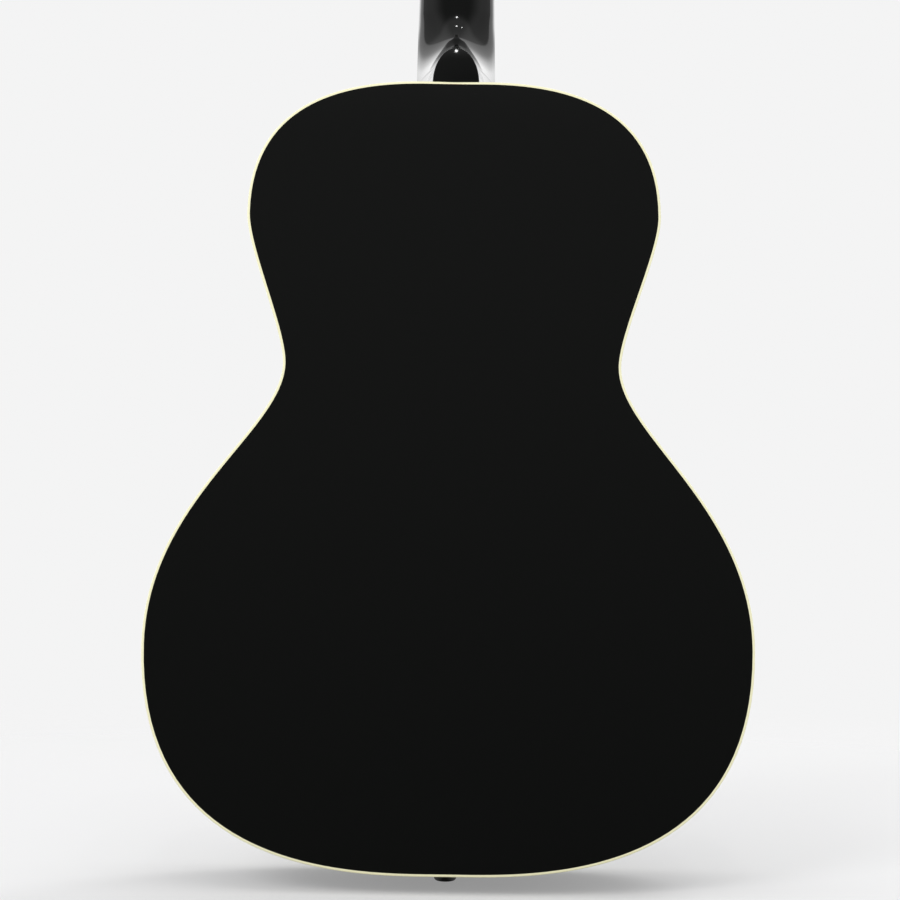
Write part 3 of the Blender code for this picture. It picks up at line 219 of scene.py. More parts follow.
BODY_MIDDLE, ABOVE_HEEL = (0, 0, 0.4), (0, 0, 0.55)
LARGE_WIDTH = 1.2
LARGE_LAMPS = [("key_lamp", (1.5, 2.2, 1.8), 27), ("front_lamp", (-1.2, -2.0, 2.2), 20)]
SMALL_LAMPS = [((0.0, 1.6, 2.6), 0.14, 2.0), ((0.0, 1.9, 1.62), 0.08, 0.7), ((-0.7, 1.5, 2.6), 0.12, 1.5)]
for name, place, power in LARGE_LAMPS:
    add_lamp(name, place, BODY_MIDDLE, LARGE_WIDTH, power).visible_glossy = False
for number, (place, width, power) in enumerate(SMALL_LAMPS, 1):
    add_lamp(f"small_lamp_{number}", place, ABOVE_HEEL, width, power)

# %% [markdown]
# ## Finishes
#
# Each finish is one Principled shader with the pattern that the real material has at its real size.
# Pictures of materials could give the patterns, but nodes need no file and no unwrapping. They read Object
# coordinates, which are metres in the guitar's own frame, so a wood grain runs through a piece the way it
# does through a board.


# %% A finish
class Finish(Nodes):
    """A material with helpers for the patterns used here. Its slot has its name, unless another is given."""

    def __init__(self, name, colour, roughness, slot=None, **constants):
        self.slot = slot or name
        self.material = bpy.data.materials.new(name)
        self.material.use_nodes = True
        super().__init__(self.material.node_tree)
        self.shader = self.tree.nodes["Principled BSDF"]
        self.shader.inputs["Base Color"].default_value = (*colour, 1)
        self.shader.inputs["Roughness"].default_value = roughness
        for key, value in constants.items():
            self.shader.inputs[key.replace("_", " ")].default_value = value
        self.place = self.node("TexCoord", {}, {}, "Object")

    def feed(self, name, value):
        self.give(self.shader.inputs[name], value)

    def stretched(self, x, y, z):
        return self.node("Mapping", {}, {"Vector": self.place, "Scale": (x, y, z)})

    def noise(self, x, y, z, detail=3.0, roughness=0.55):
        """Cloudy values from 0 to 1, with x, y and z blotches to a metre."""
        return self.node(
            "TexNoise", {},
            {"Vector": self.stretched(x, y, z), "Scale": 1.0, "Detail": detail, "Roughness": roughness},
        )

    def blend(self, amount, first, second):
        return self.node(
            "Mix", {"data_type": "RGBA"},
            {0: amount, 6: first if isinstance(first, Value) else (*first, 1),
             7: second if isinstance(second, Value) else (*second, 1)}, 2,
        )

    def bump(self, height, depth):
        self.feed("Normal", self.node("Bump", {}, {"Height": height, "Distance": depth, "Strength": 1.0}))


print("finish class ready")

# %% [markdown]
# ### Pale floor
#
# The floor carries the soft shadow. A large plane would do, but its far edge would show as a line. A round
# sheet whose edge fades away runs into the backdrop with none. Part of its white is glow for the camera
# alone, so that the shadow under the body stays soft.


# %% Floor
def mesh_of(name, shape):
    """The mesh of a bmesh, which is then let go."""
    mesh = bpy.data.meshes.new(name)
    shape.to_mesh(mesh)
    shape.free()
    return mesh


FLOOR_RADIUS = 1.7
floor_shape = bmesh.new()
bmesh.ops.create_circle(floor_shape, cap_ends=True, segments=96, radius=FLOOR_RADIUS)
floor = add_object("floor", mesh_of("floor", floor_shape))
floor.visible_glossy = False
white = Finish("pale_floor", (0.60, 0.60, 0.605), 0.9, Specular_IOR_Level=0.0, Emission_Strength=0.27)
from_middle = white.node("VectorMath", {"operation": "LENGTH"}, {0: white.place}, "Value")
white.feed("Alpha", white.ease(from_middle, 0.25, 0.9 * FLOOR_RADIUS, 1.0, 0.0))
white.feed("Emission Color", white.node("LightPath", {}, {}, "Is Camera Ray"))
floor.data.materials.append(white.material)
print("floor radius", FLOOR_RADIUS)

# %% [markdown]
# ### Black lacquer
#
# Sprayed and buffed lacquer is a mirror with a trace of its history: a faint orange peel, buffing haze in
# slow clouds and a few dust specks. A clear coat over a black base could give it, but on black one glossy
# layer looks the same and is simpler. The colour is one deep black, so only roughness and bump vary.

# %% Black lacquer
BLACK = (0.0045, 0.0048, 0.0045)
lacquer = Finish("black_lacquer", BLACK, 0.06)
haze = lacquer.noise(9, 9, 9, 4.0)
specks = lacquer.ease(lacquer.noise(700, 700, 700, 1.0), 0.74, 0.80)
lacquer.feed("Roughness", 0.035 + haze * 0.045 + specks * 0.12)
lacquer.bump(lacquer.noise(260, 260, 260, 2.0), 0.004 * MM)
print("lacquer nodes:", len(lacquer.tree.nodes))

# %% [markdown]
# ### Cream binding
#
# The binding is a strip of cream plastic, scraped flush and buffed. One flat cream would look like paint.
# The real strip ages unevenly, so two creams are mixed in patches, with fine scraper marks in the bump.

# %% Cream binding
cream = Finish("cream_binding", (0.94, 0.91, 0.61), 0.3)
aged = cream.noise(14, 14, 14, 3.0)
cream.feed("Base Color", cream.blend(aged, (0.965, 0.945, 0.66), (0.915, 0.875, 0.56)))
cream.feed("Roughness", 0.22 + cream.noise(60, 60, 60) * 0.2)
cream.bump(cream.noise(900, 900, 900, 2.0), 0.01 * MM)
print("cream nodes:", len(cream.tree.nodes))

# %% [markdown]
# ### Woods
#
# Bare wood shows streaks along the grain and small dark pores. A Wave texture could draw the streaks, but
# it repeats too evenly. So one recipe with noise serves all the woods: a noise that is squeezed across the
# grain and drawn out along it makes the streaks, a finer one makes the pores, and the same pores dent the
# surface. The stretch decides which way the grain runs.


# %% Woods
def wood(name, tones, grain, roughness):
    """Grain gives blotches to a metre along X, Y and Z: the small number lies along the grain."""
    pale, dark, pore = tones
    made = Finish(name, pale, roughness)
    x, y, z = grain
    streak = made.noise(x, y, z, 5.0, 0.6)
    slow = made.noise(x / 9, y / 9, z / 3, 2.0)
    colour = made.blend(made.ease(streak * 0.75 + slow * 0.25, 0.36, 0.64), dark, pale)
    pores = made.ease(made.noise(x * 9, y * 9, z * 5, 2.0), 0.60, 0.70)
    made.feed("Base Color", made.blend(pores * 0.8, colour, pore))
    made.feed("Roughness", roughness - 0.1 + streak * 0.15 + pores * 0.15)
    made.bump(1 - pores, 0.05 * MM)
    return made


UP_GRAIN = (160, 160, 5)
ACROSS_GRAIN = (5, 160, 160)
MAHOGANY = (0.33, 0.15, 0.075), (0.20, 0.08, 0.04), (0.09, 0.035, 0.018)
SPRUCE = (0.66, 0.47, 0.27), (0.52, 0.33, 0.16), (0.45, 0.27, 0.13)
ROSEWOOD = (0.105, 0.048, 0.028), (0.030, 0.014, 0.010), (0.010, 0.006, 0.005)
EBONY = (0.020, 0.015, 0.012), (0.008, 0.007, 0.006), (0.004, 0.003, 0.003)
mahogany = wood("mahogany", MAHOGANY, UP_GRAIN, 0.6)
spruce = wood("spruce", SPRUCE, UP_GRAIN, 0.62)
cross_spruce = wood("spruce_across", SPRUCE, ACROSS_GRAIN, 0.62)
rosewood = wood("rosewood", ROSEWOOD, UP_GRAIN, 0.42)
bridge_rosewood = wood("rosewood_across", ROSEWOOD, ACROSS_GRAIN, 0.40)
ebony = wood("ebony", EBONY, (220, 220, 14), 0.32)
print("woods:", 6)

# %% [markdown]
# ### Bone, plastic and pearl
#
# Bone for the nut and saddle has faint streaks and tiny pores. The buttons and bridge pins are ivory
# plastic with slow colour clouds. The position dots are pearl. A thin-film shader could give its sheen, but
# at this size it is enough to mix cool and warm tints in folded layers.

# %% Bone, plastic and pearl
bone = Finish("bone", (0.80, 0.74, 0.60), 0.35)
bone.feed("Base Color", bone.blend(bone.noise(60, 500, 400, 4.0), (0.84, 0.79, 0.66), (0.74, 0.66, 0.50)))
bone.feed("Roughness", 0.26 + bone.noise(200, 200, 200) * 0.16)
bone.bump(bone.noise(1800, 1800, 1800, 2.0), 0.02 * MM)

ivory = Finish("ivory_plastic", (0.84, 0.78, 0.62), 0.25)
ivory.feed("Base Color", ivory.blend(ivory.noise(70, 70, 70, 3.0), (0.86, 0.81, 0.66), (0.77, 0.69, 0.51)))
ivory.feed("Roughness", 0.16 + ivory.noise(300, 300, 300) * 0.16)
ivory.bump(ivory.noise(500, 500, 500, 2.0), 0.01 * MM)

pearl = Finish("pearl", (0.8, 0.8, 0.78), 0.2, "ivory_plastic")
folds = pearl.noise(260, 260, 120, 4.0, 0.7)
pearl.feed("Base Color", pearl.blend(pearl.ease(folds, 0.4, 0.62), (0.80, 0.84, 0.86), (0.88, 0.80, 0.74)))
pearl.feed("Roughness", 0.12 + folds * 0.2)
print("pale finishes: bone, ivory, pearl")

# %% [markdown]
# ### Metals
#
# The tuning machines and frets are nickel plated, the plain strings are steel and the wound ones bronze.
# Nickel dulls in clouds and takes fine scratches. The winding of a string could be modelled turn by turn,
# but it is too fine to be seen here, so ridges across the string are left to the bump.

# %% Metals
nickel = Finish("nickel", (0.66, 0.63, 0.57), 0.2, Metallic=1.0)
dull = nickel.noise(120, 120, 120, 5.0, 0.65)
nickel.feed("Base Color", nickel.blend(nickel.ease(dull, 0.35, 0.75), (0.70, 0.67, 0.61), (0.52, 0.48, 0.41)))
nickel.feed("Roughness", 0.14 + dull * 0.22)
nickel.bump(nickel.noise(2600, 300, 2600, 2.0), 0.004 * MM)

steel = Finish("steel", (0.62, 0.62, 0.62), 0.22, Metallic=1.0)
steel.feed("Roughness", 0.16 + steel.noise(400, 400, 60) * 0.2)
steel.bump(steel.noise(3000, 3000, 200, 2.0), 0.003 * MM)

bronze = Finish("bronze_wire", (0.63, 0.42, 0.21), 0.28, Metallic=1.0)
tarnish = bronze.noise(200, 200, 30, 4.0)
bronze.feed("Base Color", bronze.blend(tarnish, (0.68, 0.46, 0.23), (0.50, 0.31, 0.14)))
bronze.feed("Roughness", 0.22 + tarnish * 0.2)
along_string = bronze.node("SeparateXYZ", {}, {0: bronze.place}, "Z")
WINDING_PITCH = 0.4 * MM
bronze.bump(along_string.sum_up("SINE", along_string * (2 * pi / WINDING_PITCH), 0.0), 0.05 * MM)
print("metals: nickel, steel, bronze")

# %% [markdown]
# ### Tortoise plastic
#
# The pickguard is a thin sheet of mottled plastic. Voronoi cells would give blotches with hard borders. Two
# sizes of noise, added together, give blotches with soft ragged edges under a clear gloss.

# %% Tortoise plastic
tortoise = Finish("tortoise", (0.12, 0.035, 0.012), 0.12, Coat_Weight=0.6, Coat_Roughness=0.05)
swirl = tortoise.noise(38, 38, 38, 2.0)
blotch = tortoise.noise(70, 70, 45, 5.0, 0.6)
mottle = tortoise.ease(blotch * 0.7 + swirl * 0.3, 0.42, 0.58)
tortoise.feed("Base Color", tortoise.blend(mottle, (0.020, 0.008, 0.005), (0.26, 0.075, 0.018)))
tortoise.feed("Roughness", 0.08 + blotch * 0.08)
print("tortoise nodes:", len(tortoise.tree.nodes))

# %% [markdown]
# ## Shaping tools
#
# Most pieces of a guitar are a flat sheet that has been bent. They could be built up face by face, but a
# grid whose corners are moved by a formula keeps even four-sided faces and follows the sizes. A finished
# shape becomes an object at the origin that rides on a body of the frame. Where it stands for a packed
# solid, that solid is hidden.


# %% Grids
def grid(columns, rows, place):
    """A grid whose corner at (u, v), each from 0 to 1, goes to place(u, v)."""
    shape = bmesh.new()
    bmesh.ops.create_grid(shape, x_segments=columns, y_segments=rows, size=1)
    for vert in shape.verts:
        vert.co = place((vert.co.x + 1) / 2, (vert.co.y + 1) / 2)
    return shape


def close_up(shape):
    """Welds seams and poles, fills open ends and turns the faces outwards."""
    bmesh.ops.remove_doubles(shape, verts=shape.verts, dist=1e-6)
    bmesh.ops.dissolve_degenerate(shape, edges=shape.edges, dist=1e-7)
    rims = [edge for edge in shape.edges if edge.is_boundary]
    if rims:
        bmesh.ops.holes_fill(shape, edges=rims, sides=0)
    bmesh.ops.recalc_face_normals(shape, faces=shape.faces)
    return shape


print("shaping tools: grid, close_up")


# %% A piece
def add_piece(name, shape, finish, nodes=(), body="guitar", sharp=35):
    mesh = mesh_of(name, shape)
    mesh.shade_smooth()
    mesh.set_sharp_from_angle(angle=radians(sharp))
    mesh.materials.append(finish.material)
    piece = add_object(name, mesh)
    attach(piece, body)
    if nodes:
        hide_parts(*nodes)
    return piece


print("placing tool: add_piece")

# %% [markdown]
# ## The body's outline
#
# A flat top's outline is a few long curves: lower bout, waist, upper bout. It could be a list of many
# points, but four cubic curves for one half are smooth all along and take few sizes. They have the places
# and fullness that the solids have. The back is a shallow dome: it falls away to both sides and the body is
# deeper at the tail than at the neck.


# %% Body sizes
def mm(*given):
    """Sizes or points in millimetres, as metres."""
    return [tuple(mm(*item)) if isinstance(item, tuple) else item * MM for item in given]


BODY_LENGTH = 493 * MM
LOWER_BOUT, WAIST, UPPER_BOUT = mm(187.5, 105, 130)
LOWER_BOUT_HEIGHT, WAIST_HEIGHT, UPPER_BOUT_HEIGHT = mm(136.6, 311, 407)
TAIL_DEPTH, NECK_END_DEPTH = mm(109, 87.5)
BACK_ARCH_RADIUS, BACK_LENGTH_ARCH = mm(4600, 4)
SOUNDBOARD_THICKNESS, BACK_THICKNESS, SIDE_THICKNESS = mm(2.8, 2.6, 2.0)
BINDING_WIDTH, BINDING_HEIGHT = mm(1.6, 5.5)
SEAM = 0.05 * MM
TAIL_Z = 11.5 * MM
BODY_END_Z = TAIL_Z + BODY_LENGTH
TOP_Y = -TAIL_DEPTH / 2
rise = WAIST_HEIGHT - LOWER_BOUT_HEIGHT
climb = UPPER_BOUT_HEIGHT - WAIST_HEIGHT
shoulder = BODY_LENGTH - UPPER_BOUT_HEIGHT
tail, neck_end = Vector((0, 0)), Vector((0, BODY_LENGTH))
widest, narrow = Vector((LOWER_BOUT, LOWER_BOUT_HEIGHT)), Vector((WAIST, WAIST_HEIGHT))
upper, UP, OUT = Vector((UPPER_BOUT, UPPER_BOUT_HEIGHT)), Vector((0, 1)), Vector((1, 0))
OUTLINE = [
    (tail, tail + OUT * 0.25 * LOWER_BOUT, widest - UP * 1.05 * LOWER_BOUT_HEIGHT, widest),
    (widest, widest + UP * 0.51 * rise, narrow - UP * 0.24 * rise, narrow),
    (narrow, narrow + UP * 0.22 * climb, upper - UP * 0.237 * climb, upper),
    (upper, upper + UP * 1.12 * shoulder, neck_end + OUT * 0.2 * UPPER_BOUT, neck_end),
]
print("body length", BODY_LENGTH, "width", 2 * LOWER_BOUT)


# %% Body curves
def cubic(a, b, c, d, t):
    return a * (1 - t) ** 3 + b * 3 * (1 - t) ** 2 * t + c * 3 * (1 - t) * t**2 + d * t**3


def outline_point(station, inset=0.0):
    """(x, z) on the treble half: station runs from 0 at the tail to 4 at the neck."""
    index = min(int(station), 3)
    t = station - index
    a, b, c, d = OUTLINE[index]
    along = (b - a) * (1 - t) ** 2 + (c - b) * 2 * (1 - t) * t + (d - c) * t**2
    inward = Vector((-along.y, along.x)).normalized()
    return cubic(a, b, c, d, t) + inward * inset + Vector((0, TAIL_Z))


def station_at(x, end, inset=0.0):
    """The station near the tail (end 0) or the neck (end 4) where the outline is x from the centre line."""
    low, high = (0.0, 1.0) if end == 0 else (3.0, 4.0)
    for _ in range(40):
        middle = (low + high) / 2
        if (outline_point(middle, inset).x < x) == (end == 0):
            low = middle
        else:
            high = middle
    return (low + high) / 2


def back_y(x, z):
    """The outer face of the back."""
    share = (z - TAIL_Z) / BODY_LENGTH
    depth = TAIL_DEPTH + (NECK_END_DEPTH - TAIL_DEPTH) * share + BACK_LENGTH_ARCH * 4 * share * (1 - share)
    return TOP_Y + depth - x * x / (2 * BACK_ARCH_RADIUS)


print("outline at the waist:", list(outline_point(2)))

# %% [markdown]
# ## Back and soundboard
#
# Both plates are thin boards inside the binding. The outline could be filled with one face, but a single
# face can't bend. So a grid is laid across the outline, lifted onto the dome and given its thickness with
# one extrude. The back's inner face is bare mahogany, which shows through the soundhole, so the faces that
# look inwards take the wood.

# %% Plates
PLATE_END = 3 * MM
ROWS, COLUMNS = 128, 24


def pull(shape, faces, by):
    """Extrudes faces by a vector and gives what that made."""
    made = bmesh.ops.extrude_face_region(shape, geom=faces)["geom"]
    bmesh.ops.translate(shape, verts=[item for item in made if isinstance(item, bmesh.types.BMVert)], vec=by)
    return made


def plate(surface, thickness):
    inset = BINDING_WIDTH + SEAM
    start, stop = station_at(PLATE_END, 0, inset), station_at(PLATE_END, 4, inset)

    def place(u, v):
        half, z = outline_point(start + (stop - start) * v, inset)
        x = half * (2 * u - 1)
        return Vector((x, surface(x, z), z))

    shape = grid(COLUMNS, ROWS, place)
    pull(shape, shape.faces[:], (0, thickness, 0))
    return close_up(shape)


print("rows and columns of a plate:", ROWS, COLUMNS)


# %% Back
def line_inside(piece, finish, inward):
    """Gives the faces that look inwards, which is 1 or -1 along Y, a second finish."""
    piece.data.materials.append(finish.material)
    for face in piece.data.polygons:
        face.material_index = 1 if face.normal.y * inward > 0.5 else 0


back_plate = add_piece("back_plate", plate(back_y, -BACK_THICKNESS), lacquer, ["back"])
line_inside(back_plate, mahogany, -1)
print("back faces:", len(back_plate.data.polygons))

# %% [markdown]
# The soundboard is flat, with a round soundhole below the end of the fretboard. A ring of cream and black
# lines is let into it round the hole. The lines could be thin rings of their own, but they lie flush, so
# they are drawn in the finish, by the distance from the hole's middle. The hole is cut with a Boolean,
# which is applied at once so that no cutter is left. The inner face is spruce.

# %% Soundboard finish
SCALE_LENGTH = 628.65 * MM
NUT_Z = BODY_END_Z + SCALE_LENGTH * (1 - 2 ** (-14 / 12))
BOARD_END_Z = NUT_Z - SCALE_LENGTH * (1 - 2 ** (-20 / 12)) - 6.5 * MM
SOUNDHOLE_RADIUS = 50 * MM
HOLE_Z = BOARD_END_Z - 5 * MM - SOUNDHOLE_RADIUS

ringed = Finish("black_lacquer_ringed", BLACK, 0.06, "black_lacquer")
centred = ringed.node(
    "Mapping", {}, {"Vector": ringed.place, "Location": (0, 0, -HOLE_Z), "Scale": (1, 0, 1)}
)
from_hole = ringed.node("VectorMath", {"operation": "LENGTH"}, {0: centred}, "Value") * (1 / MM)
BLUR = 0.05
lines = 0.0
for first, last in ((53.0, 53.7), (54.6, 55.0), (55.6, 58.4), (59.0, 59.4), (60.3, 61.0)):
    begun = ringed.ease(from_hole, first - BLUR, first + BLUR)
    lines = begun * ringed.ease(from_hole, last - BLUR, last + BLUR, 1.0, 0.0) + lines
ring_cream = ringed.blend(ringed.noise(60, 60, 60), (0.88, 0.82, 0.58), (0.76, 0.68, 0.42))
ringed.feed("Base Color", ringed.blend(lines, BLACK, ring_cream))
ringed.feed("Roughness", 0.035 + ringed.noise(9, 9, 9, 4.0) * 0.045)
ringed.bump(ringed.noise(260, 260, 260, 2.0), 0.004 * MM)
print("soundhole at", HOLE_Z)

# %% Turned shapes
ALONG_Y = Matrix.Rotation(-pi / 2, 4, "X")


def turned(profile, steps=32):
    """Spins (height, radius) points about the Z axis."""
    shape = bmesh.new()
    verts = [shape.verts.new((radius, 0, height)) for height, radius in profile]
    edges = [shape.edges.new(pair) for pair in zip(verts, verts[1:])]
    bmesh.ops.spin(
        shape, geom=verts + edges, axis=(0, 0, 1), cent=(0, 0, 0), angle=2 * pi, steps=steps,
        use_merge=True,
    )
    return close_up(shape)


def place_in(shape, matrix):
    bmesh.ops.transform(shape, matrix=matrix, verts=shape.verts)
    return shape


print("a turned shape stands on Z until ALONG_Y lays it down:", list(ALONG_Y @ Vector((0, 0, 1))))


# %% Holes
def final_mesh(thing):
    """An object's mesh with its modifiers or its bevel in it."""
    bpy.context.view_layer.update()
    return bpy.data.meshes.new_from_object(thing.evaluated_get(bpy.context.evaluated_depsgraph_get()))


def drill(piece, tools, sharp=35):
    """Takes the shapes in tools out of a piece."""
    cutters = [add_object("cutter", mesh_of("cutter", shape)) for shape in tools]
    for cutter in cutters:
        hole = piece.modifiers.new("hole", "BOOLEAN")
        hole.operation = "DIFFERENCE"
        hole.object = cutter
    drilled = final_mesh(piece)
    drilled.set_sharp_from_angle(angle=radians(sharp))
    piece.modifiers.clear()
    piece.data = drilled
    for cutter in cutters:
        bpy.data.objects.remove(cutter)


def rod_along_y(radius, low, high, x, z, steps=32):
    """A closed rod from y low to y high, for drilling."""
    shape = turned([(low, 0), (low, radius), (high, radius), (high, 0)], steps)
    return place_in(shape, Matrix.Translation((x, 0, z)) @ ALONG_Y)


print("holes are cut by drill, with rods from rod_along_y")


# %% Soundboard
def flat_front(x, z):
    return TOP_Y


top_plate = add_piece("top_plate", plate(flat_front, SOUNDBOARD_THICKNESS), ringed, ["soundboard"])
drill(top_plate, [rod_along_y(SOUNDHOLE_RADIUS, TOP_Y - MM, TOP_Y + 5 * MM, 0, HOLE_Z, 96)])
line_inside(top_plate, spruce, 1)
print("soundboard faces:", len(top_plate.data.polygons))

# %% [markdown]
# ## Sides
#
# The sides are two thin strips, bent over a hot pipe, that meet at the tail under the end pin. A Solidify
# modifier could thicken a strip, but here the front and back edges have to meet the binding, and the back
# edge follows the dome. So a closed four-sided section is carried along the outline.

# %% Sides
SEAM_HALF, BLOCK_HALF = mm(0.02, 10.3)


def between(corners, u):
    """A point on the closed path through corners, with u from 0 to 1."""
    step = u * len(corners)
    index = min(int(step), len(corners) - 1)
    first, second = Vector(corners[index]), Vector(corners[(index + 1) % len(corners)])
    return first + (second - first) * (step - index)


def side_strip(side):
    start, stop = station_at(SEAM_HALF, 0), station_at(BLOCK_HALF, 4)
    edge = BINDING_HEIGHT + SEAM

    def place(u, v):
        station = start + (stop - start) * v
        inset, depth = between([(0, 0), (0, 1), (1, 1), (1, 0)], u)
        x, z = outline_point(station, SIDE_THICKNESS * inset)
        front, rear = TOP_Y + edge, back_y(x, z) - edge
        return Vector((side * max(x, SEAM_HALF), front + (rear - front) * depth, z))

    return close_up(grid(16, 160, place))


for name, node, side in (("bass_side", "side_bass", -1), ("treble_side", "side_treble", 1)):
    strip = add_piece(name, side_strip(side), lacquer, [node])
    print(name, len(strip.data.polygons), "faces")

# %% [markdown]
# ## Binding
#
# The bright line round the body is a strip let into the edge. It could be painted on the sides, but its
# outer corner is rounded over and catches the light from the side too. So a section with that rounded
# corner is carried once round the whole outline.

# %% Binding
CORNER = 0.7 * MM
binding_section = [(0, BINDING_HEIGHT)]
for step in range(7):
    angle = pi / 2 * step / 6
    binding_section.append((CORNER * (1 - cos(angle)), CORNER * (1 - sin(angle))))
binding_section += [(BINDING_WIDTH, 0), (BINDING_WIDTH, BINDING_HEIGHT)]


def binding_ring(at_back):
    def place(u, v):
        inset, below = between(binding_section, u)
        station = 8 * v if v < 0.5 else 8 * (1 - v)
        side = 1 if v < 0.5 else -1
        x, z = outline_point(station, inset)
        y = back_y(x, z) - below if at_back else TOP_Y + below
        return Vector((side * x, y, z))

    return close_up(grid(len(binding_section), 320, place))


add_piece("back_edge", binding_ring(True), cream, ["back_binding"])
add_piece("top_edge", binding_ring(False), cream, ["top_binding"])
print("binding section points:", len(binding_section))

# %% [markdown]
# ## Neck, heel and headstock
#
# The neck is carved from one piece. Its section is a soft D that grows into the heel: there it becomes a
# wedge, sharp like the bow of a boat, whose full flanks run down to the heel cap's arch. At the nut it goes
# over into the flat headstock, which leans back. Blocks could be joined with Booleans, but the seams would
# show in the gloss. So the whole is one closed tube made from a grid, with a section for each row, and the
# rows lie closer where the shape bends faster. The heel runs out a little sooner than the solid's, so that
# the room is mirrored in it as in the photograph.

# %% Neck sizes
GLUE = 0.3 * MM
NUT_WIDTH, BOARD_END_WIDTH, NUT_LENGTH = mm(43.8, 57, 6)
HEAD_Z = NUT_Z + NUT_LENGTH
NECK_DEPTH_AT_NUT, NECK_DEPTH_AT_HEEL = mm(15.2, 18.2)
HEEL_REACH, HEEL_CAP_LENGTH, HEEL_CAP_WIDTH, HEEL_CAP_THICKNESS = mm(50, 22, 29.5, 3)
CREST_HALF, CREST_REACH = mm(1.4, 26)
SHAFT_ROUNDNESS, HEAD_ROUNDNESS, WEDGE_FULLNESS = 0.85, 0.10, 0.5
HEEL_SWEEP, CREST_FADE, WEDGE_RISE, WEDGE_FADE = 3, 4, 1.5, 3.5
CAP_ARCH, CROWN_ARCH = 1.9, 2.6
HEAD_ANGLE, HEAD_LENGTH, HEAD_SHOULDER = radians(15), 164 * MM, 32 * MM
HEAD_LOWER_WIDTH, HEAD_UPPER_WIDTH, HEAD_CROWN, HEAD_THICKNESS = mm(74, 80, 14, 14.5)
HEAD_SOFT_EDGE = 0.8 * MM
STRINGS = range(1, 7)
POST_OFFSET, FIRST_POST, POST_SPACING, POST_HOLE_RADIUS = mm(26, 42, 38, 4.4)
HEAD = Matrix.Translation((0, TOP_Y, HEAD_Z)) @ Matrix.Rotation(-HEAD_ANGLE, 4, "X")
heel_depth = back_y(0, BODY_END_Z) - HEEL_CAP_THICKNESS - GLUE - TOP_Y
print("nut at", NUT_Z, "heel depth", heel_depth)


# %% Neck sections
def board_width(z):
    return NUT_WIDTH + (BOARD_END_WIDTH - NUT_WIDTH) * (NUT_Z - z) / (NUT_Z - BOARD_END_Z)


def heel_cap_half(rise, pointing=0.5):
    share = min(max(rise / HEEL_CAP_LENGTH, 0), 1)
    return HEEL_CAP_WIDTH / 2 * (1 - share**CAP_ARCH) ** pointing


def half_section(turn, width, depth, roundness, soft=0.0):
    """A point from the front edge (turn = 0) round to the middle of the back (turn = 1).

    Turns from -1 to 0 round the front edge itself, where it is soft. Roundness 1 is an ellipse and 0 a box.
    """
    angle = (turn % 1 if turn < 1 else 1) * pi / 2
    if turn < 0:
        return width / 2 - soft * (1 - sin(angle)), soft * (1 - cos(angle))
    inward = cos(angle) ** roundness if turn < 1 else 0.0
    return width / 2 * inward, max(depth * sin(angle) ** roundness, soft)


def neck_point(turn, z):
    """A point on the half section of the heel or shaft at height z."""
    climbed = z - BODY_END_Z
    past_cap = max(climbed - HEEL_CAP_LENGTH, 0)
    left = max(1 - past_cap / HEEL_REACH, 0)
    thin = NECK_DEPTH_AT_NUT + (NECK_DEPTH_AT_HEEL - NECK_DEPTH_AT_NUT) * (NUT_Z - z) / (NUT_Z - BODY_END_Z)
    deep = thin + (heel_depth - thin) * left**HEEL_SWEEP
    crest = CREST_HALF * max(1 - (past_cap / CREST_REACH) ** CREST_FADE, 0)
    soft_d, back = half_section(turn, 2, 1, SHAFT_ROUNDNESS)
    flat_half = max(heel_cap_half(climbed, 0.5 + min(1 - back, 0.5)), crest)
    wedge = (1 - back) * (1 + WEDGE_FULLNESS * back * (1 - back))
    in_heel = 1 - (1 - left**WEDGE_RISE) ** WEDGE_FADE
    share = soft_d + (wedge - soft_d) * in_heel
    return flat_half + (board_width(z) / 2 - flat_half) * share, deep * back


print("heel cap half width at the body:", heel_cap_half(0))


# %% Headstock sections
def head_width(along):
    if along < HEAD_SHOULDER:
        share = along / HEAD_SHOULDER
        return NUT_WIDTH + (HEAD_LOWER_WIDTH - NUT_WIDTH) * share * share * (3 - 2 * share)
    share = (along - HEAD_SHOULDER) / (HEAD_LENGTH - HEAD_SHOULDER)
    width = HEAD_LOWER_WIDTH + (HEAD_UPPER_WIDTH - HEAD_LOWER_WIDTH) * share
    left = HEAD_LENGTH - along
    if left < HEAD_CROWN:
        width *= sqrt(max(1 - (1 - left / HEAD_CROWN) ** CROWN_ARCH, 0.001))
    return width


def head_point_at(turn, along):
    share = min(along / HEAD_SHOULDER, 1)
    thick = NECK_DEPTH_AT_NUT + (HEAD_THICKNESS - NECK_DEPTH_AT_NUT) * share
    roundness = SHAFT_ROUNDNESS + (HEAD_ROUNDNESS - SHAFT_ROUNDNESS) * share**0.6
    width = head_width(along)
    soft = min(HEAD_SOFT_EDGE * min(4 * share, 1), width / 5)
    return half_section(turn, width, thick, roundness, soft)


print("headstock width at its shoulder:", head_width(HEAD_SHOULDER))

# %% Neck rows
heel_rows = [HEEL_CAP_LENGTH * (1 - (1 - k / 14) ** 1.6) for k in range(15)]
heel_rows += [HEEL_CAP_LENGTH + HEEL_REACH * (k / 28) ** 1.3 for k in range(1, 29)]
neck_rows = [("neck", BODY_END_Z + rise) for rise in heel_rows]
shaft_start = neck_rows[-1][1]
neck_rows += [("neck", shaft_start + (NUT_Z - shaft_start) * k / 12) for k in range(1, 13)]
neck_rows += [("head", HEAD_SHOULDER * k / 16) for k in range(17)]
straight = HEAD_LENGTH - HEAD_CROWN - HEAD_SHOULDER
neck_rows += [("head", HEAD_SHOULDER + straight * k / 6) for k in range(1, 7)]
neck_rows += [("head", HEAD_LENGTH - HEAD_CROWN * (1 - k / 14) ** 1.8) for k in range(1, 15)]
turns = [-1, -2 / 3, -1 / 3] + [k / 28 for k in range(29)]
neck_columns = [(1, turn) for turn in turns] + [(-1, turn) for turn in reversed(turns)]


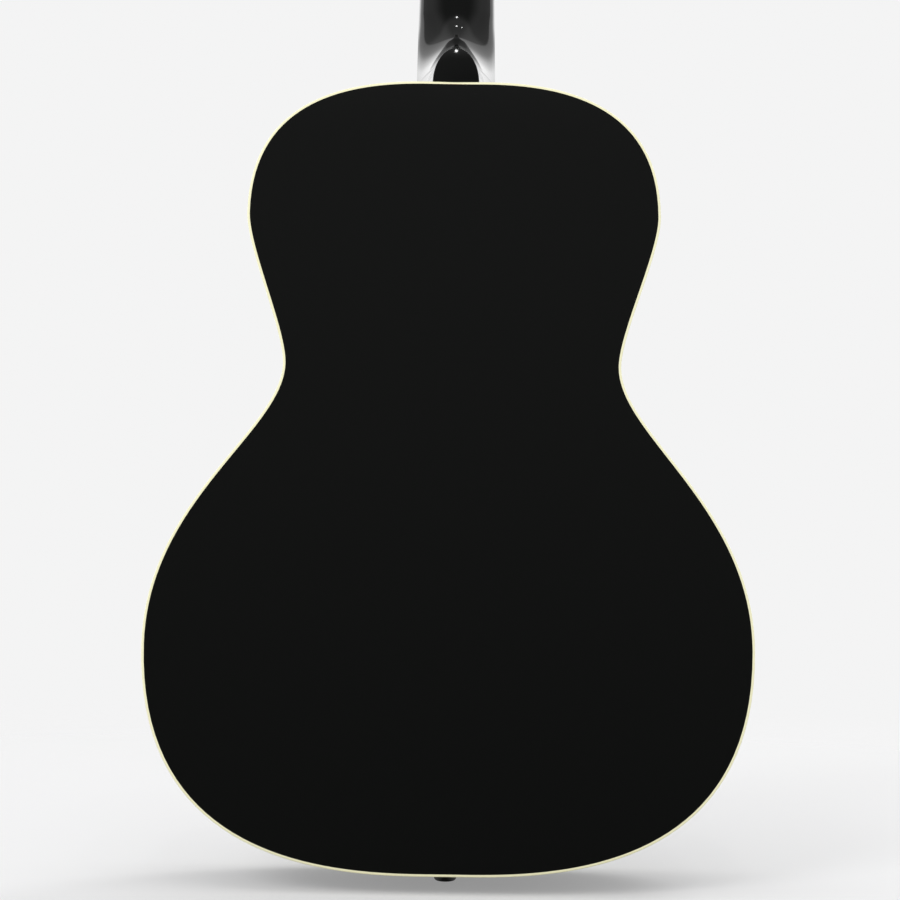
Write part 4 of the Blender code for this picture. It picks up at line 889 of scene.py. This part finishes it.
def neck_place(u, v):
    kind, station = neck_rows[round(v * (len(neck_rows) - 1))]
    side, turn = neck_columns[round(u * len(neck_columns)) % len(neck_columns)]
    if kind == "head":
        x, back = head_point_at(turn, station)
        return HEAD @ Vector((side * x, back, station))
    x, back = neck_point(turn, station)
    if station == BODY_END_Z:
        edge = 4.0 if x < GLUE else station_at(x, 4)
        station = outline_point(edge).y + GLUE
    return Vector((side * x, TOP_Y + back, station))


print("neck rows and columns:", len(neck_rows), len(neck_columns))


# %% Neck
def post_place(index):
    side = 1 if index <= 3 else -1
    row = index - 1 if index <= 3 else 6 - index
    return side, FIRST_POST + row * POST_SPACING


NECK_SHARP, NEAR = 40, 0.01 * MM
neck_shape = close_up(grid(len(neck_columns), len(neck_rows) - 1, neck_place))
print("open neck edges:", sum(not edge.is_manifold for edge in neck_shape.edges))
neck_piece = add_piece("neck_piece", neck_shape, lacquer, ["neck"], sharp=NECK_SHARP)
holes = []
for index in STRINGS:
    side, along = post_place(index)
    hole = rod_along_y(POST_HOLE_RADIUS, -5 * MM, HEAD_THICKNESS + 5 * MM, side * POST_OFFSET, along)
    holes.append(place_in(hole, HEAD))
drill(neck_piece, holes, NECK_SHARP)
to_head = HEAD.inverted()
for edge in neck_piece.data.edges:
    ends = [to_head @ neck_piece.data.vertices[index].co for index in edge.vertices]
    on_front = all(abs(end.y) < NEAR for end in ends)
    on_crown = all(end.z > HEAD_LENGTH - NEAR for end in ends)
    edge.use_edge_sharp = on_front or on_crown or edge.use_edge_sharp
print("neck faces:", len(neck_piece.data.polygons))

# %% [markdown]
# ## Heel cap
#
# A thin flat cap closes the end of the heel, level with the back. It could be a face of the neck, but on a
# real guitar it is glued on as a piece of its own. It is an outline pulled up and softened at its rim,
# which leaves the fine bright line round it.


# %% Heel cap
def slab(outline, rise, soft):
    """Pulls an outline up by a vector, and rounds the rim of its upper face."""
    shape = bmesh.new()
    raised = pull(shape, [shape.faces.new([shape.verts.new(point) for point in outline])], rise)
    rim = [edge for item in raised if isinstance(item, bmesh.types.BMFace) for edge in item.edges]
    bmesh.ops.bevel(
        shape, geom=rim, offset=soft, affect="EDGES", segments=3, profile=0.5, material=-1, clamp_overlap=True
    )
    return close_up(shape)


cap_low = BODY_END_Z + GLUE
cap_face = back_y(0, BODY_END_Z)
rises = [HEEL_CAP_LENGTH * sin(pi / 2 * k / 24) for k in range(24)]
half_cap = [(heel_cap_half(rise), cap_low + rise) for rise in rises]
cap_outline = half_cap + [(0, cap_low + HEEL_CAP_LENGTH)] + [(-x, z) for x, z in reversed(half_cap)]
cap_low_face = [(x, cap_face - HEEL_CAP_THICKNESS, z) for x, z in cap_outline]
cap_shape = slab(cap_low_face, (0, HEEL_CAP_THICKNESS, 0), 0.4 * MM)
add_piece("heel_end", cap_shape, lacquer, ["heel_cap"])
print("heel cap outline points:", len(cap_outline))

# %% [markdown]
# ## Fretboard, frets and dots
#
# The board is rosewood with a cambered face. Each fret is a nickel wire pressed across it. A straight rod
# would stand off the camber at its ends, so an oval one, half sunk, follows the face. Pearl dots mark the
# usual places.

# %% Fretboard
BOARD_THICKNESS, BOARD_RADIUS = mm(6.35, 305)
BOARD_SECTION = [(1, 0), (1, 0.5), (1, 0.94), (0.985, 1), (0.5, 1), (0, 1)]
BOARD_SECTION += [(-0.5, 1), (-0.985, 1), (-1, 0.94), (-1, 0.5), (-1, 0), (0, 0)]


def camber(x):
    return x * x / (2 * BOARD_RADIUS)


def board_face(x):
    return TOP_Y - BOARD_THICKNESS + camber(x)


def board_place(u, v):
    z = BOARD_END_Z + (NUT_Z - SEAM - BOARD_END_Z) * v
    half = board_width(z) / 2
    across, tall = between(BOARD_SECTION, u)
    x = half * across
    low = TOP_Y - SEAM
    return Vector((x, low + (board_face(x) - low) * tall, z))


board = add_piece("board", close_up(grid(24, 8, board_place)), rosewood, ["fretboard"])
print("board faces:", len(board.data.polygons))

# %% Frets
FRETS, FRET_WIDTH, FRET_HEIGHT = 20, 2.0 * MM, 1.0 * MM


def fret_z(number):
    return NUT_Z - SCALE_LENGTH * (1 - 2 ** (-number / 12))


def fret_wire(number):
    middle = fret_z(number)
    half = board_width(middle) / 2 - 0.3 * MM

    def place(u, v):
        x = half * (2 * v - 1)
        turn = 2 * pi * u
        swell = min(1.0, 0.45 + 8 * min(v, 1 - v))
        out = FRET_HEIGHT * sin(turn) * swell
        return Vector((x, board_face(x) - out, middle + FRET_WIDTH / 2 * cos(turn)))

    return close_up(grid(16, 20, place))


for number in range(1, FRETS + 1):
    add_piece(f"fret_{number:02d}", fret_wire(number), nickel)
print("frets:", FRETS)

# %% Position dots
DOT_RADIUS = 3 * MM
AGAINST_Y = Matrix.Rotation(pi / 2, 4, "X")


def softened(profile, rounds=2):
    """Cuts the corners off a profile, and keeps its two ends."""
    for _ in range(rounds):
        cut = [profile[0]]
        for (h1, r1), (h2, r2) in zip(profile, profile[1:]):
            for near, far in ((0.75, 0.25), (0.25, 0.75)):
                cut.append((near * h1 + far * h2, near * r1 + far * r2))
        profile = cut + [profile[-1]]
    return profile


disc = softened([(-0.5 * MM, 0), (-0.5 * MM, DOT_RADIUS), (0.06 * MM, DOT_RADIUS), (0.06 * MM, 0)], 1)
for number, places in ((3, [0]), (5, [0]), (7, [0]), (9, [0]), (12, [-10, 10]), (15, [0]), (17, [0])):
    middle = (fret_z(number) + fret_z(number - 1)) / 2
    for count, across in enumerate(places, 1):
        x = across * MM
        to_face = Matrix.Translation((x, board_face(x), middle)) @ AGAINST_Y
        add_piece(f"dot_{number}_{count}", place_in(turned(disc), to_face), pearl)
print("dot radius", DOT_RADIUS)

# %% [markdown]
# ## Bridge pins and end pin
#
# Pins are turned on a lathe. A plain cylinder would have hard rims, so a profile with its corners cut is
# spun. The end pin is the strap button at the tail, and the guitar's datum: its flat outer face is at the
# origin.

# %% Pins
BRIDGE_TOP = TOP_Y - GLUE - 8.5 * MM
SADDLE_Z = NUT_Z - SCALE_LENGTH - 2.75 * MM
PIN_Z = SADDLE_Z - 14 * MM
SADDLE_SPREAD, NUT_SPREAD = mm(54, 36.5)


def string_x(index, spread):
    return spread * (0.5 - (index - 1) / 5)


pin_profile = mm((24, 0), (24, 2.3), (0, 2.7))
pin_profile += softened(mm((0, 3.9), (-1.7, 3.95), (-3.6, 3.0), (-4.2, 1.2), (-4.2, 0)))
for index in STRINGS:
    seat = Matrix.Translation((string_x(index, SADDLE_SPREAD), BRIDGE_TOP - GLUE, PIN_Z))
    pin = place_in(turned(pin_profile), seat @ ALONG_Y)
    add_piece(f"pin_{index}", pin, ivory, [f"bridge_pin_{index}"])
tail_pin = mm((0, 0), (0, 4.2))
tail_pin += softened(
    mm((0, 4.2), (0.6, 6.6), (3.4, 7.6), (5.4, 6.2), (6.6, 4.9), (9, 4.9), (9.8, 6.4), (11.2, 6.4))
)
tail_pin += mm((11.2, 4), (31, 3.6), (31, 0))
add_piece("tail_pin", turned(tail_pin, 48), ebony, ["end_pin"])
print("pins:", 7)

# %% [markdown]
# ## Pickguard
#
# A thin teardrop of tortoise plastic lies beside the soundhole on the treble side, with a bevelled rim. An
# ellipse would not follow the hole, so the outline is an arc round it and three cubic curves.

# %% Pickguard
hole_edge = SOUNDHOLE_RADIUS + 5 * MM
guard_width, guard_drop = mm(36, 98)
arc = []
for k in range(25):
    turn = radians(56 - 96 * k / 24)
    arc.append(Vector((cos(turn), sin(turn))) * hole_edge)
first, last = arc[0], arc[-1]
low_tip = Vector((last.x + 0.5 * guard_width, -guard_drop))
broad = Vector((hole_edge + guard_width, -0.42 * guard_drop))
out, up = Vector((0.5 * guard_width, 0)), Vector((0, 0.32 * guard_drop))
guard_edges = [
    (last, last - up, low_tip - 0.9 * out, low_tip),
    (low_tip, low_tip + 0.9 * out, broad - up, broad),
    (broad, broad + 1.3 * up, first + 1.3 * out, first),
]
guard_outline = list(arc)
for edge in guard_edges:
    guard_outline += [cubic(*edge, k / 20) for k in range(1, 21)]
guard_outline.pop()
guard_low = TOP_Y - SEAM
guard_shape = slab([(p.x, guard_low, HOLE_Z + p.y) for p in guard_outline], (0, -1.6 * MM, 0), 0.5 * MM)
add_piece("guard", guard_shape, tortoise, ["pickguard"])
print("pickguard outline points:", len(guard_outline))

# %% [markdown]
# ## Strings
#
# Each string runs from its ball end under the bridge plate, over the saddle and nut and round its post. It
# could be a row of cylinders, but these break at every bend. It is one curve with a round bevel, through
# the same points as the solid but with more of them round the post. The curve is made a mesh so that it
# carries its finish like the other pieces.

# %% Winding
STRING_DIAMETERS = mm(0.30, 0.41, 0.61, 0.81, 1.07, 1.35)
POST_WAIST_RADIUS, POST_ABOVE_FACE = mm(2.8, 15)
BALL_RADIUS, WINDING_GAP = mm(1.9, 0.45)
TURN_POINTS, POST_TURNS = 24, 2.5


def winding(index, radius):
    """The turns round the post, in the headstock's own frame."""
    side, along = post_place(index)
    reach = POST_WAIST_RADIUS + radius + GLUE
    middle = Vector((side * POST_OFFSET, along))
    to_nut = Vector((string_x(index, NUT_SPREAD), 0)) - middle
    start = atan2(to_nut.y, to_nut.x) - side * acos(reach / to_nut.length)
    pitch = 2 * radius + WINDING_GAP
    points = []
    for k in range(round(POST_TURNS * TURN_POINTS) + 1):
        angle = start - side * 2 * pi * k / TURN_POINTS
        points.append(Vector((
            middle.x + reach * cos(angle), -0.62 * POST_ABOVE_FACE + pitch * k / TURN_POINTS,
            middle.y + reach * sin(angle),
        )))
    return points


print("points round a post:", len(winding(1, STRING_DIAMETERS[0] / 2)))

# %% String route
UNDER_PLATE_Y = TOP_Y + SOUNDBOARD_THICKNESS + GLUE + 2.6 * MM


def saddle_z(x):
    return NUT_Z - SCALE_LENGTH - 1.0 * MM - 3.5 * MM * (0.5 - x / SADDLE_SPREAD)


def string_route(index, radius):
    x, nut_x = string_x(index, SADDLE_SPREAD), string_x(index, NUT_SPREAD)
    drop_z = PIN_Z + 4.9 * MM
    over = TOP_Y - 11.6 * MM - radius + camber(x)
    nut_y = TOP_Y - BOARD_THICKNESS - 1.6 * MM - radius + camber(nut_x)
    ball = BALL_RADIUS / radius
    below = [(4.4, ball * 0.8), (4.0, ball), (1.0, ball), (0.6, ball * 0.8), (0.5, 1)]
    route = [((x, UNDER_PLATE_Y + drop * MM, drop_z), thick) for drop, thick in below]
    route += [(place, 1) for place in (
        (x, BRIDGE_TOP + 1.6 * MM, drop_z), (x, BRIDGE_TOP - 0.2 * MM, drop_z + 0.35 * MM),
        (x, BRIDGE_TOP - 1.1 * MM, drop_z + 1.3 * MM), (x, over + 0.25 * MM, saddle_z(x) - 1.6 * MM),
        (x, over, saddle_z(x)), (nut_x, nut_y, NUT_Z), (nut_x, nut_y, HEAD_Z - MM),
    )]
    return route + [(HEAD @ point, 1) for point in winding(index, radius)]


print("string 1 points:", len(string_route(1, STRING_DIAMETERS[0] / 2)))


# %% Strings
def string_mesh(name, route, radius):
    curve = bpy.data.curves.new(name, "CURVE")
    curve.dimensions = "3D"
    curve.bevel_depth = radius
    curve.bevel_resolution = 2
    curve.use_fill_caps = True
    spline = curve.splines.new("POLY")
    spline.points.add(len(route) - 1)
    for point, (place, thick) in zip(spline.points, route):
        point.co = (*place, 1)
        point.radius = thick
    holder = add_object(name, curve)
    shape = bmesh.new()
    shape.from_mesh(final_mesh(holder))
    bpy.data.objects.remove(holder)
    return close_up(shape)


for index, diameter in enumerate(STRING_DIAMETERS, 1):
    name = f"wire_{index}"
    shape = string_mesh(name, string_route(index, diameter / 2), diameter / 2)
    piece = add_piece(name, shape, steel if index <= 2 else bronze, [f"string_{index}"], sharp=60)
    print(name, "faces:", len(piece.data.polygons))

# %% [markdown]
# ## Tuning machines
#
# Three machines share a plate on each side. A button turns a worm, the worm turns a gear with fourteen
# teeth, and the gear's post winds the string. The parts could be placed one by one on the leaning
# headstock. It is simpler to shape them in a frame of their own, at the post: one matrix then puts each set
# in its place, turned half round on the bass side.

# %% Tuner sizes
POST_RADIUS, POST_END = mm(3.1, 1.4)
TUNER_PLATE, WORM_LIFT = mm(1.0, 2.9)
PLATE_Y = HEAD_THICKNESS + GLUE
WORM_Y = PLATE_Y + TUNER_PLATE + WORM_LIFT
GEAR_TEETH, GEAR_RADIUS, GEAR_WIDTH = 14, 5.0 * MM, 3 * MM
TOOTH_OUT, TOOTH_IN, TOOTH_SHARE = 0.55 * MM, 0.75 * MM, 0.37
WORM_RADIUS, WORM_TURNS = 2.0 * MM, 2.4
CENTRE_DISTANCE = GEAR_RADIUS + WORM_RADIUS
THREAD_PITCH = 2 * pi * GEAR_RADIUS / GEAR_TEETH
SHAFT_RADIUS, EAR_OFFSET = mm(1.4, 5.2)
BUTTON_START = HEAD_UPPER_WIDTH / 2 - POST_OFFSET + 3.5 * MM
BUTTON_LENGTH, BUTTON_HEIGHT, BUTTON_THICKNESS = mm(13, 16, 7.5)


def tuner_place(index):
    side, along = post_place(index)
    turn = 0 if side == 1 else pi
    return HEAD @ Matrix.Translation((side * POST_OFFSET, 0, along)) @ Matrix.Rotation(turn, 4, "Y")


print("worm stands", WORM_Y, "behind the headstock's face")


# %% Posts
def post_shape():
    behind = WORM_Y + GEAR_WIDTH / 2
    profile = [(behind + POST_END, 0), (behind + POST_END, 2.0 * MM), (behind + 0.9 * MM, 2.5 * MM)]
    profile += [(behind, POST_RADIUS)]
    profile += softened([
        (-2 * MM, POST_RADIUS), (-4 * MM, POST_WAIST_RADIUS), (-11.2 * MM, POST_WAIST_RADIUS),
        (-12.6 * MM, POST_RADIUS), (-14.4 * MM, POST_RADIUS), (-15 * MM, 2.3 * MM), (-15 * MM, 0),
    ])
    return place_in(turned(profile), ALONG_Y)


print("post ends", POST_ABOVE_FACE, "above the face")


# %% Gears
def gear_shape():
    tooth = 2 * pi / GEAR_TEETH
    slant = THREAD_PITCH / (2 * pi * WORM_RADIUS)
    corners = []
    for k in range(GEAR_TEETH):
        for share, out in ((-0.62, -TOOTH_IN), (-0.32, TOOTH_OUT), (0.32, TOOTH_OUT), (0.62, -TOOTH_IN)):
            corners.append((GEAR_RADIUS + out, (k + 0.5 + share * TOOTH_SHARE) * tooth))

    def place(u, v):
        radius, angle = corners[round(u * len(corners)) % len(corners)]
        y = (v - 0.5) * GEAR_WIDTH
        angle += y * slant / GEAR_RADIUS
        return Vector((radius * sin(angle), WORM_Y + y, radius * cos(angle)))

    return close_up(grid(len(corners), 2, place))


print("thread pitch:", THREAD_PITCH)

# %% Posts and gears
ALONG_X = Matrix.Rotation(pi / 2, 4, "Y")
for index in STRINGS:
    matrix, body = tuner_place(index), f"post_{index}"
    pin = place_in(post_shape(), matrix)
    post = add_piece(f"post_pin_{index}", pin, nickel, [f"tuner_post_{index}"], body)
    eye = place_in(turned(mm((-6, 0), (-6, 0.9), (6, 0.9), (6, 0)), 16), ALONG_X)
    drill(post, [place_in(eye, matrix @ Matrix.Translation((0, -0.7 * POST_ABOVE_FACE, 0)))])
    add_piece(f"gear_{index}", place_in(gear_shape(), matrix), nickel, body=body)
print("posts and gears:", len(STRINGS))


# %% Worms
def shaft_shape():
    core = WORM_RADIUS - TOOTH_IN
    ear = EAR_OFFSET - 1.0 * MM
    tip = BUTTON_START + 7.7 * MM
    profile = [
        (-EAR_OFFSET - 2 * MM, 0), (-EAR_OFFSET - 2 * MM, 1.1 * MM), (-EAR_OFFSET - 1.7 * MM, SHAFT_RADIUS),
        (-ear + 0.2 * MM, SHAFT_RADIUS), (-ear + 0.4 * MM, core), (ear - 0.4 * MM, core),
        (ear - 0.2 * MM, SHAFT_RADIUS), (tip, SHAFT_RADIUS), (tip, 0),
    ]
    return place_in(turned(profile, 24), ALONG_X)


def thread_shape():
    core, tip = WORM_RADIUS - TOOTH_IN - 0.3 * MM, WORM_RADIUS + TOOTH_OUT
    wide = TOOTH_SHARE * THREAD_PITCH
    section = [(-0.75, core), (-0.3, tip), (0.3, tip), (0.75, core)]

    def place(u, v):
        across, radius = section[round(u * 4) % 4]
        turn = 2 * pi * WORM_TURNS * (v - 0.5)
        angle = turn - pi / 2
        x = THREAD_PITCH * turn / (2 * pi) + across * wide
        return Vector((x, radius * cos(angle), radius * sin(angle)))

    return close_up(grid(4, 84, place))


print("worm turns:", WORM_TURNS)

# %% Buttons
# Along the button, then its height and thickness there, each as a share of the whole.
button_rows = [
    (0, 0.01, 0.01), (0, 0.30, 0.56), (0.02, 0.34, 0.62), (0.08, 0.40, 0.72), (0.25, 0.72, 0.88),
    (0.45, 0.94, 1), (0.65, 1, 1), (0.85, 0.90, 0.86), (0.96, 0.68, 0.6), (1, 0.40, 0.30), (1, 0.01, 0.01),
]


def button_shape():
    last = len(button_rows) - 1

    def place(u, v):
        along, tall, thick = between(button_rows, v * last / (last + 1))
        turn = 2 * pi * u
        y, z = thick * BUTTON_THICKNESS / 2 * cos(turn), tall * BUTTON_HEIGHT / 2 * sin(turn)
        return Vector((BUTTON_START + along * BUTTON_LENGTH, y, z))

    shape = close_up(grid(32, 3 * last, place))
    for _ in range(3):
        bmesh.ops.smooth_vert(
            shape, verts=shape.verts, factor=0.5, use_axis_x=True, use_axis_y=True, use_axis_z=True
        )
    return shape


print("button rows:", len(button_rows))

# %% Worms and buttons
for index in STRINGS:
    at_worm = tuner_place(index) @ Matrix.Translation((0, WORM_Y, CENTRE_DISTANCE))
    body = f"knob_{index}"
    add_piece(f"shaft_{index}", place_in(shaft_shape(), at_worm), nickel, [f"tuner_worm_{index}"], body)
    add_piece(f"thread_{index}", place_in(thread_shape(), at_worm), nickel, body=body)
    button = place_in(button_shape(), at_worm)
    add_piece(f"button_{index}", button, ivory, [f"tuner_button_{index}"], body, 80)
print("worms and buttons:", len(STRINGS))

# %% [markdown]
# ## Bushings and screws
#
# A bushing is pressed into the headstock's face round each post. The plates are held by small round-headed
# screws with a slot, and a larger one holds each gear on its post and turns with it. Flat discs would do
# from afar, but a dome with a slot cut into it catches the light as a screw does.


# %% Screws
def screw_shape(radius, tall):
    """A domed head, standing on +Z."""
    low, rim, top = -0.3 * tall, 0.35 * tall, 0.55 * radius
    return turned(softened([(low, 0), (low, radius), (rim, radius), (tall, top), (tall, 0)]), 28)


def slot_shape(radius, tall):
    shape = bmesh.new()
    bmesh.ops.create_cube(shape, size=1)
    bmesh.ops.scale(shape, verts=shape.verts, vec=(3 * radius, 0.3 * radius, 1.2 * tall))
    bmesh.ops.translate(shape, verts=shape.verts, vec=(0, 0, 1.05 * tall))
    return shape


def add_screw(name, matrix, radius, tall, body="guitar"):
    screw = add_piece(name, place_in(screw_shape(radius, tall), matrix), nickel, body=body)
    drill(screw, [place_in(slot_shape(radius, tall), matrix)])


print("screws are made by add_screw")


# %% Bushings and screws
def spin(degrees):
    return Matrix.Rotation(radians(degrees), 4, "Z")


bushing = mm((-1.4, 3.35), (-1.5, 4.6), (-0.9, 5.6), (-0.05, 5.8))
bushing += mm((0, 4.3), (9, 4.3), (9, 3.35), (-1.4, 3.35))
gear_end = Matrix.Translation((0, WORM_Y + GEAR_WIDTH / 2 + POST_END, 0)) @ ALONG_Y
for index in STRINGS:
    matrix = tuner_place(index)
    add_piece(f"bushing_{index}", place_in(turned(bushing), matrix @ ALONG_Y), nickel)
    at_gear = matrix @ gear_end @ spin(37 * index)
    add_screw(f"gear_screw_{index}", at_gear, 2.3 * MM, 1.2 * MM, f"post_{index}")
for name, side in (("treble", 1), ("bass", -1)):
    for number, along in enumerate((-46, -19, 19, 46), 1):
        spot = (side * POST_OFFSET, PLATE_Y + TUNER_PLATE, FIRST_POST + POST_SPACING + along * MM)
        at_plate = HEAD @ Matrix.Translation(spot) @ ALONG_Y @ spin(52 * number + 20 * side)
        add_screw(f"plate_screw_{name}_{number}", at_plate, 2.0 * MM, 1.1 * MM)
print("bushings and screws:", 6 + 6 + 8)

# %% [markdown]
# ## Truss-rod cover
#
# A small black plate behind the nut hides the end of the truss rod. Two screws hold it. A bevelled box
# would be too plain for its tapered shape, so it is an outline pulled up, like the heel cap.

# %% Truss-rod cover
cover_half, cover_tip, cover_low, cover_wide, cover_length, cover_face = mm(11, 5.5, 1, 6, 36, -2.2)
cover = [(-cover_half, cover_wide), (-cover_half, cover_low)]
cover += [(cover_half, cover_low), (cover_half, cover_wide)]
for k in range(25):
    turn = pi * k / 24
    cover.append((cover_tip * cos(turn), cover_length - cover_tip * (1 - sin(turn))))
cover_shape = place_in(slab([(x, -SEAM, z) for x, z in cover], (0, cover_face, 0), 0.5 * MM), HEAD)
add_piece("cover_plate", cover_shape, lacquer, ["truss_rod_cover"])
for number, along in ((1, 4), (2, 31)):
    spot = Matrix.Translation((0, cover_face, along * MM)) @ AGAINST_Y
    add_screw(f"cover_screw_{number}", HEAD @ spot, 1.6 * MM, 0.8 * MM)
print("cover outline points:", len(cover))

# %% [markdown]
# ## Solids that stay
#
# The pieces inside the sound box, the nut, saddle, bridge and tuner plates already have their true shape.
# They could be modelled again, but nothing would be gained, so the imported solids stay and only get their
# finish.

# %% Finishes on the solids
KEPT = [
    (mahogany, "neck_block tail_block bridge_plate"),
    (mahogany, "lining_top_bass lining_top_treble lining_back_bass lining_back_treble"),
    (spruce, "x_brace_bass x_brace_treble"), (cross_spruce, "back_brace_1 back_brace_2 back_brace_3"),
    (steel, "truss_rod"), (bone, "nut saddle"), (bridge_rosewood, "bridge"),
    (nickel, "tuner_plate_bass tuner_plate_treble"),
]
for finish, names in KEPT:
    for name in names.split():
        node = frame["nodes"][name]
        if not node.material_slots:
            node.data.materials.append(finish.material)
        for slot in node.material_slots:
            slot.material = finish.material
print("solids kept:", sum(len(names.split()) for finish, names in KEPT))
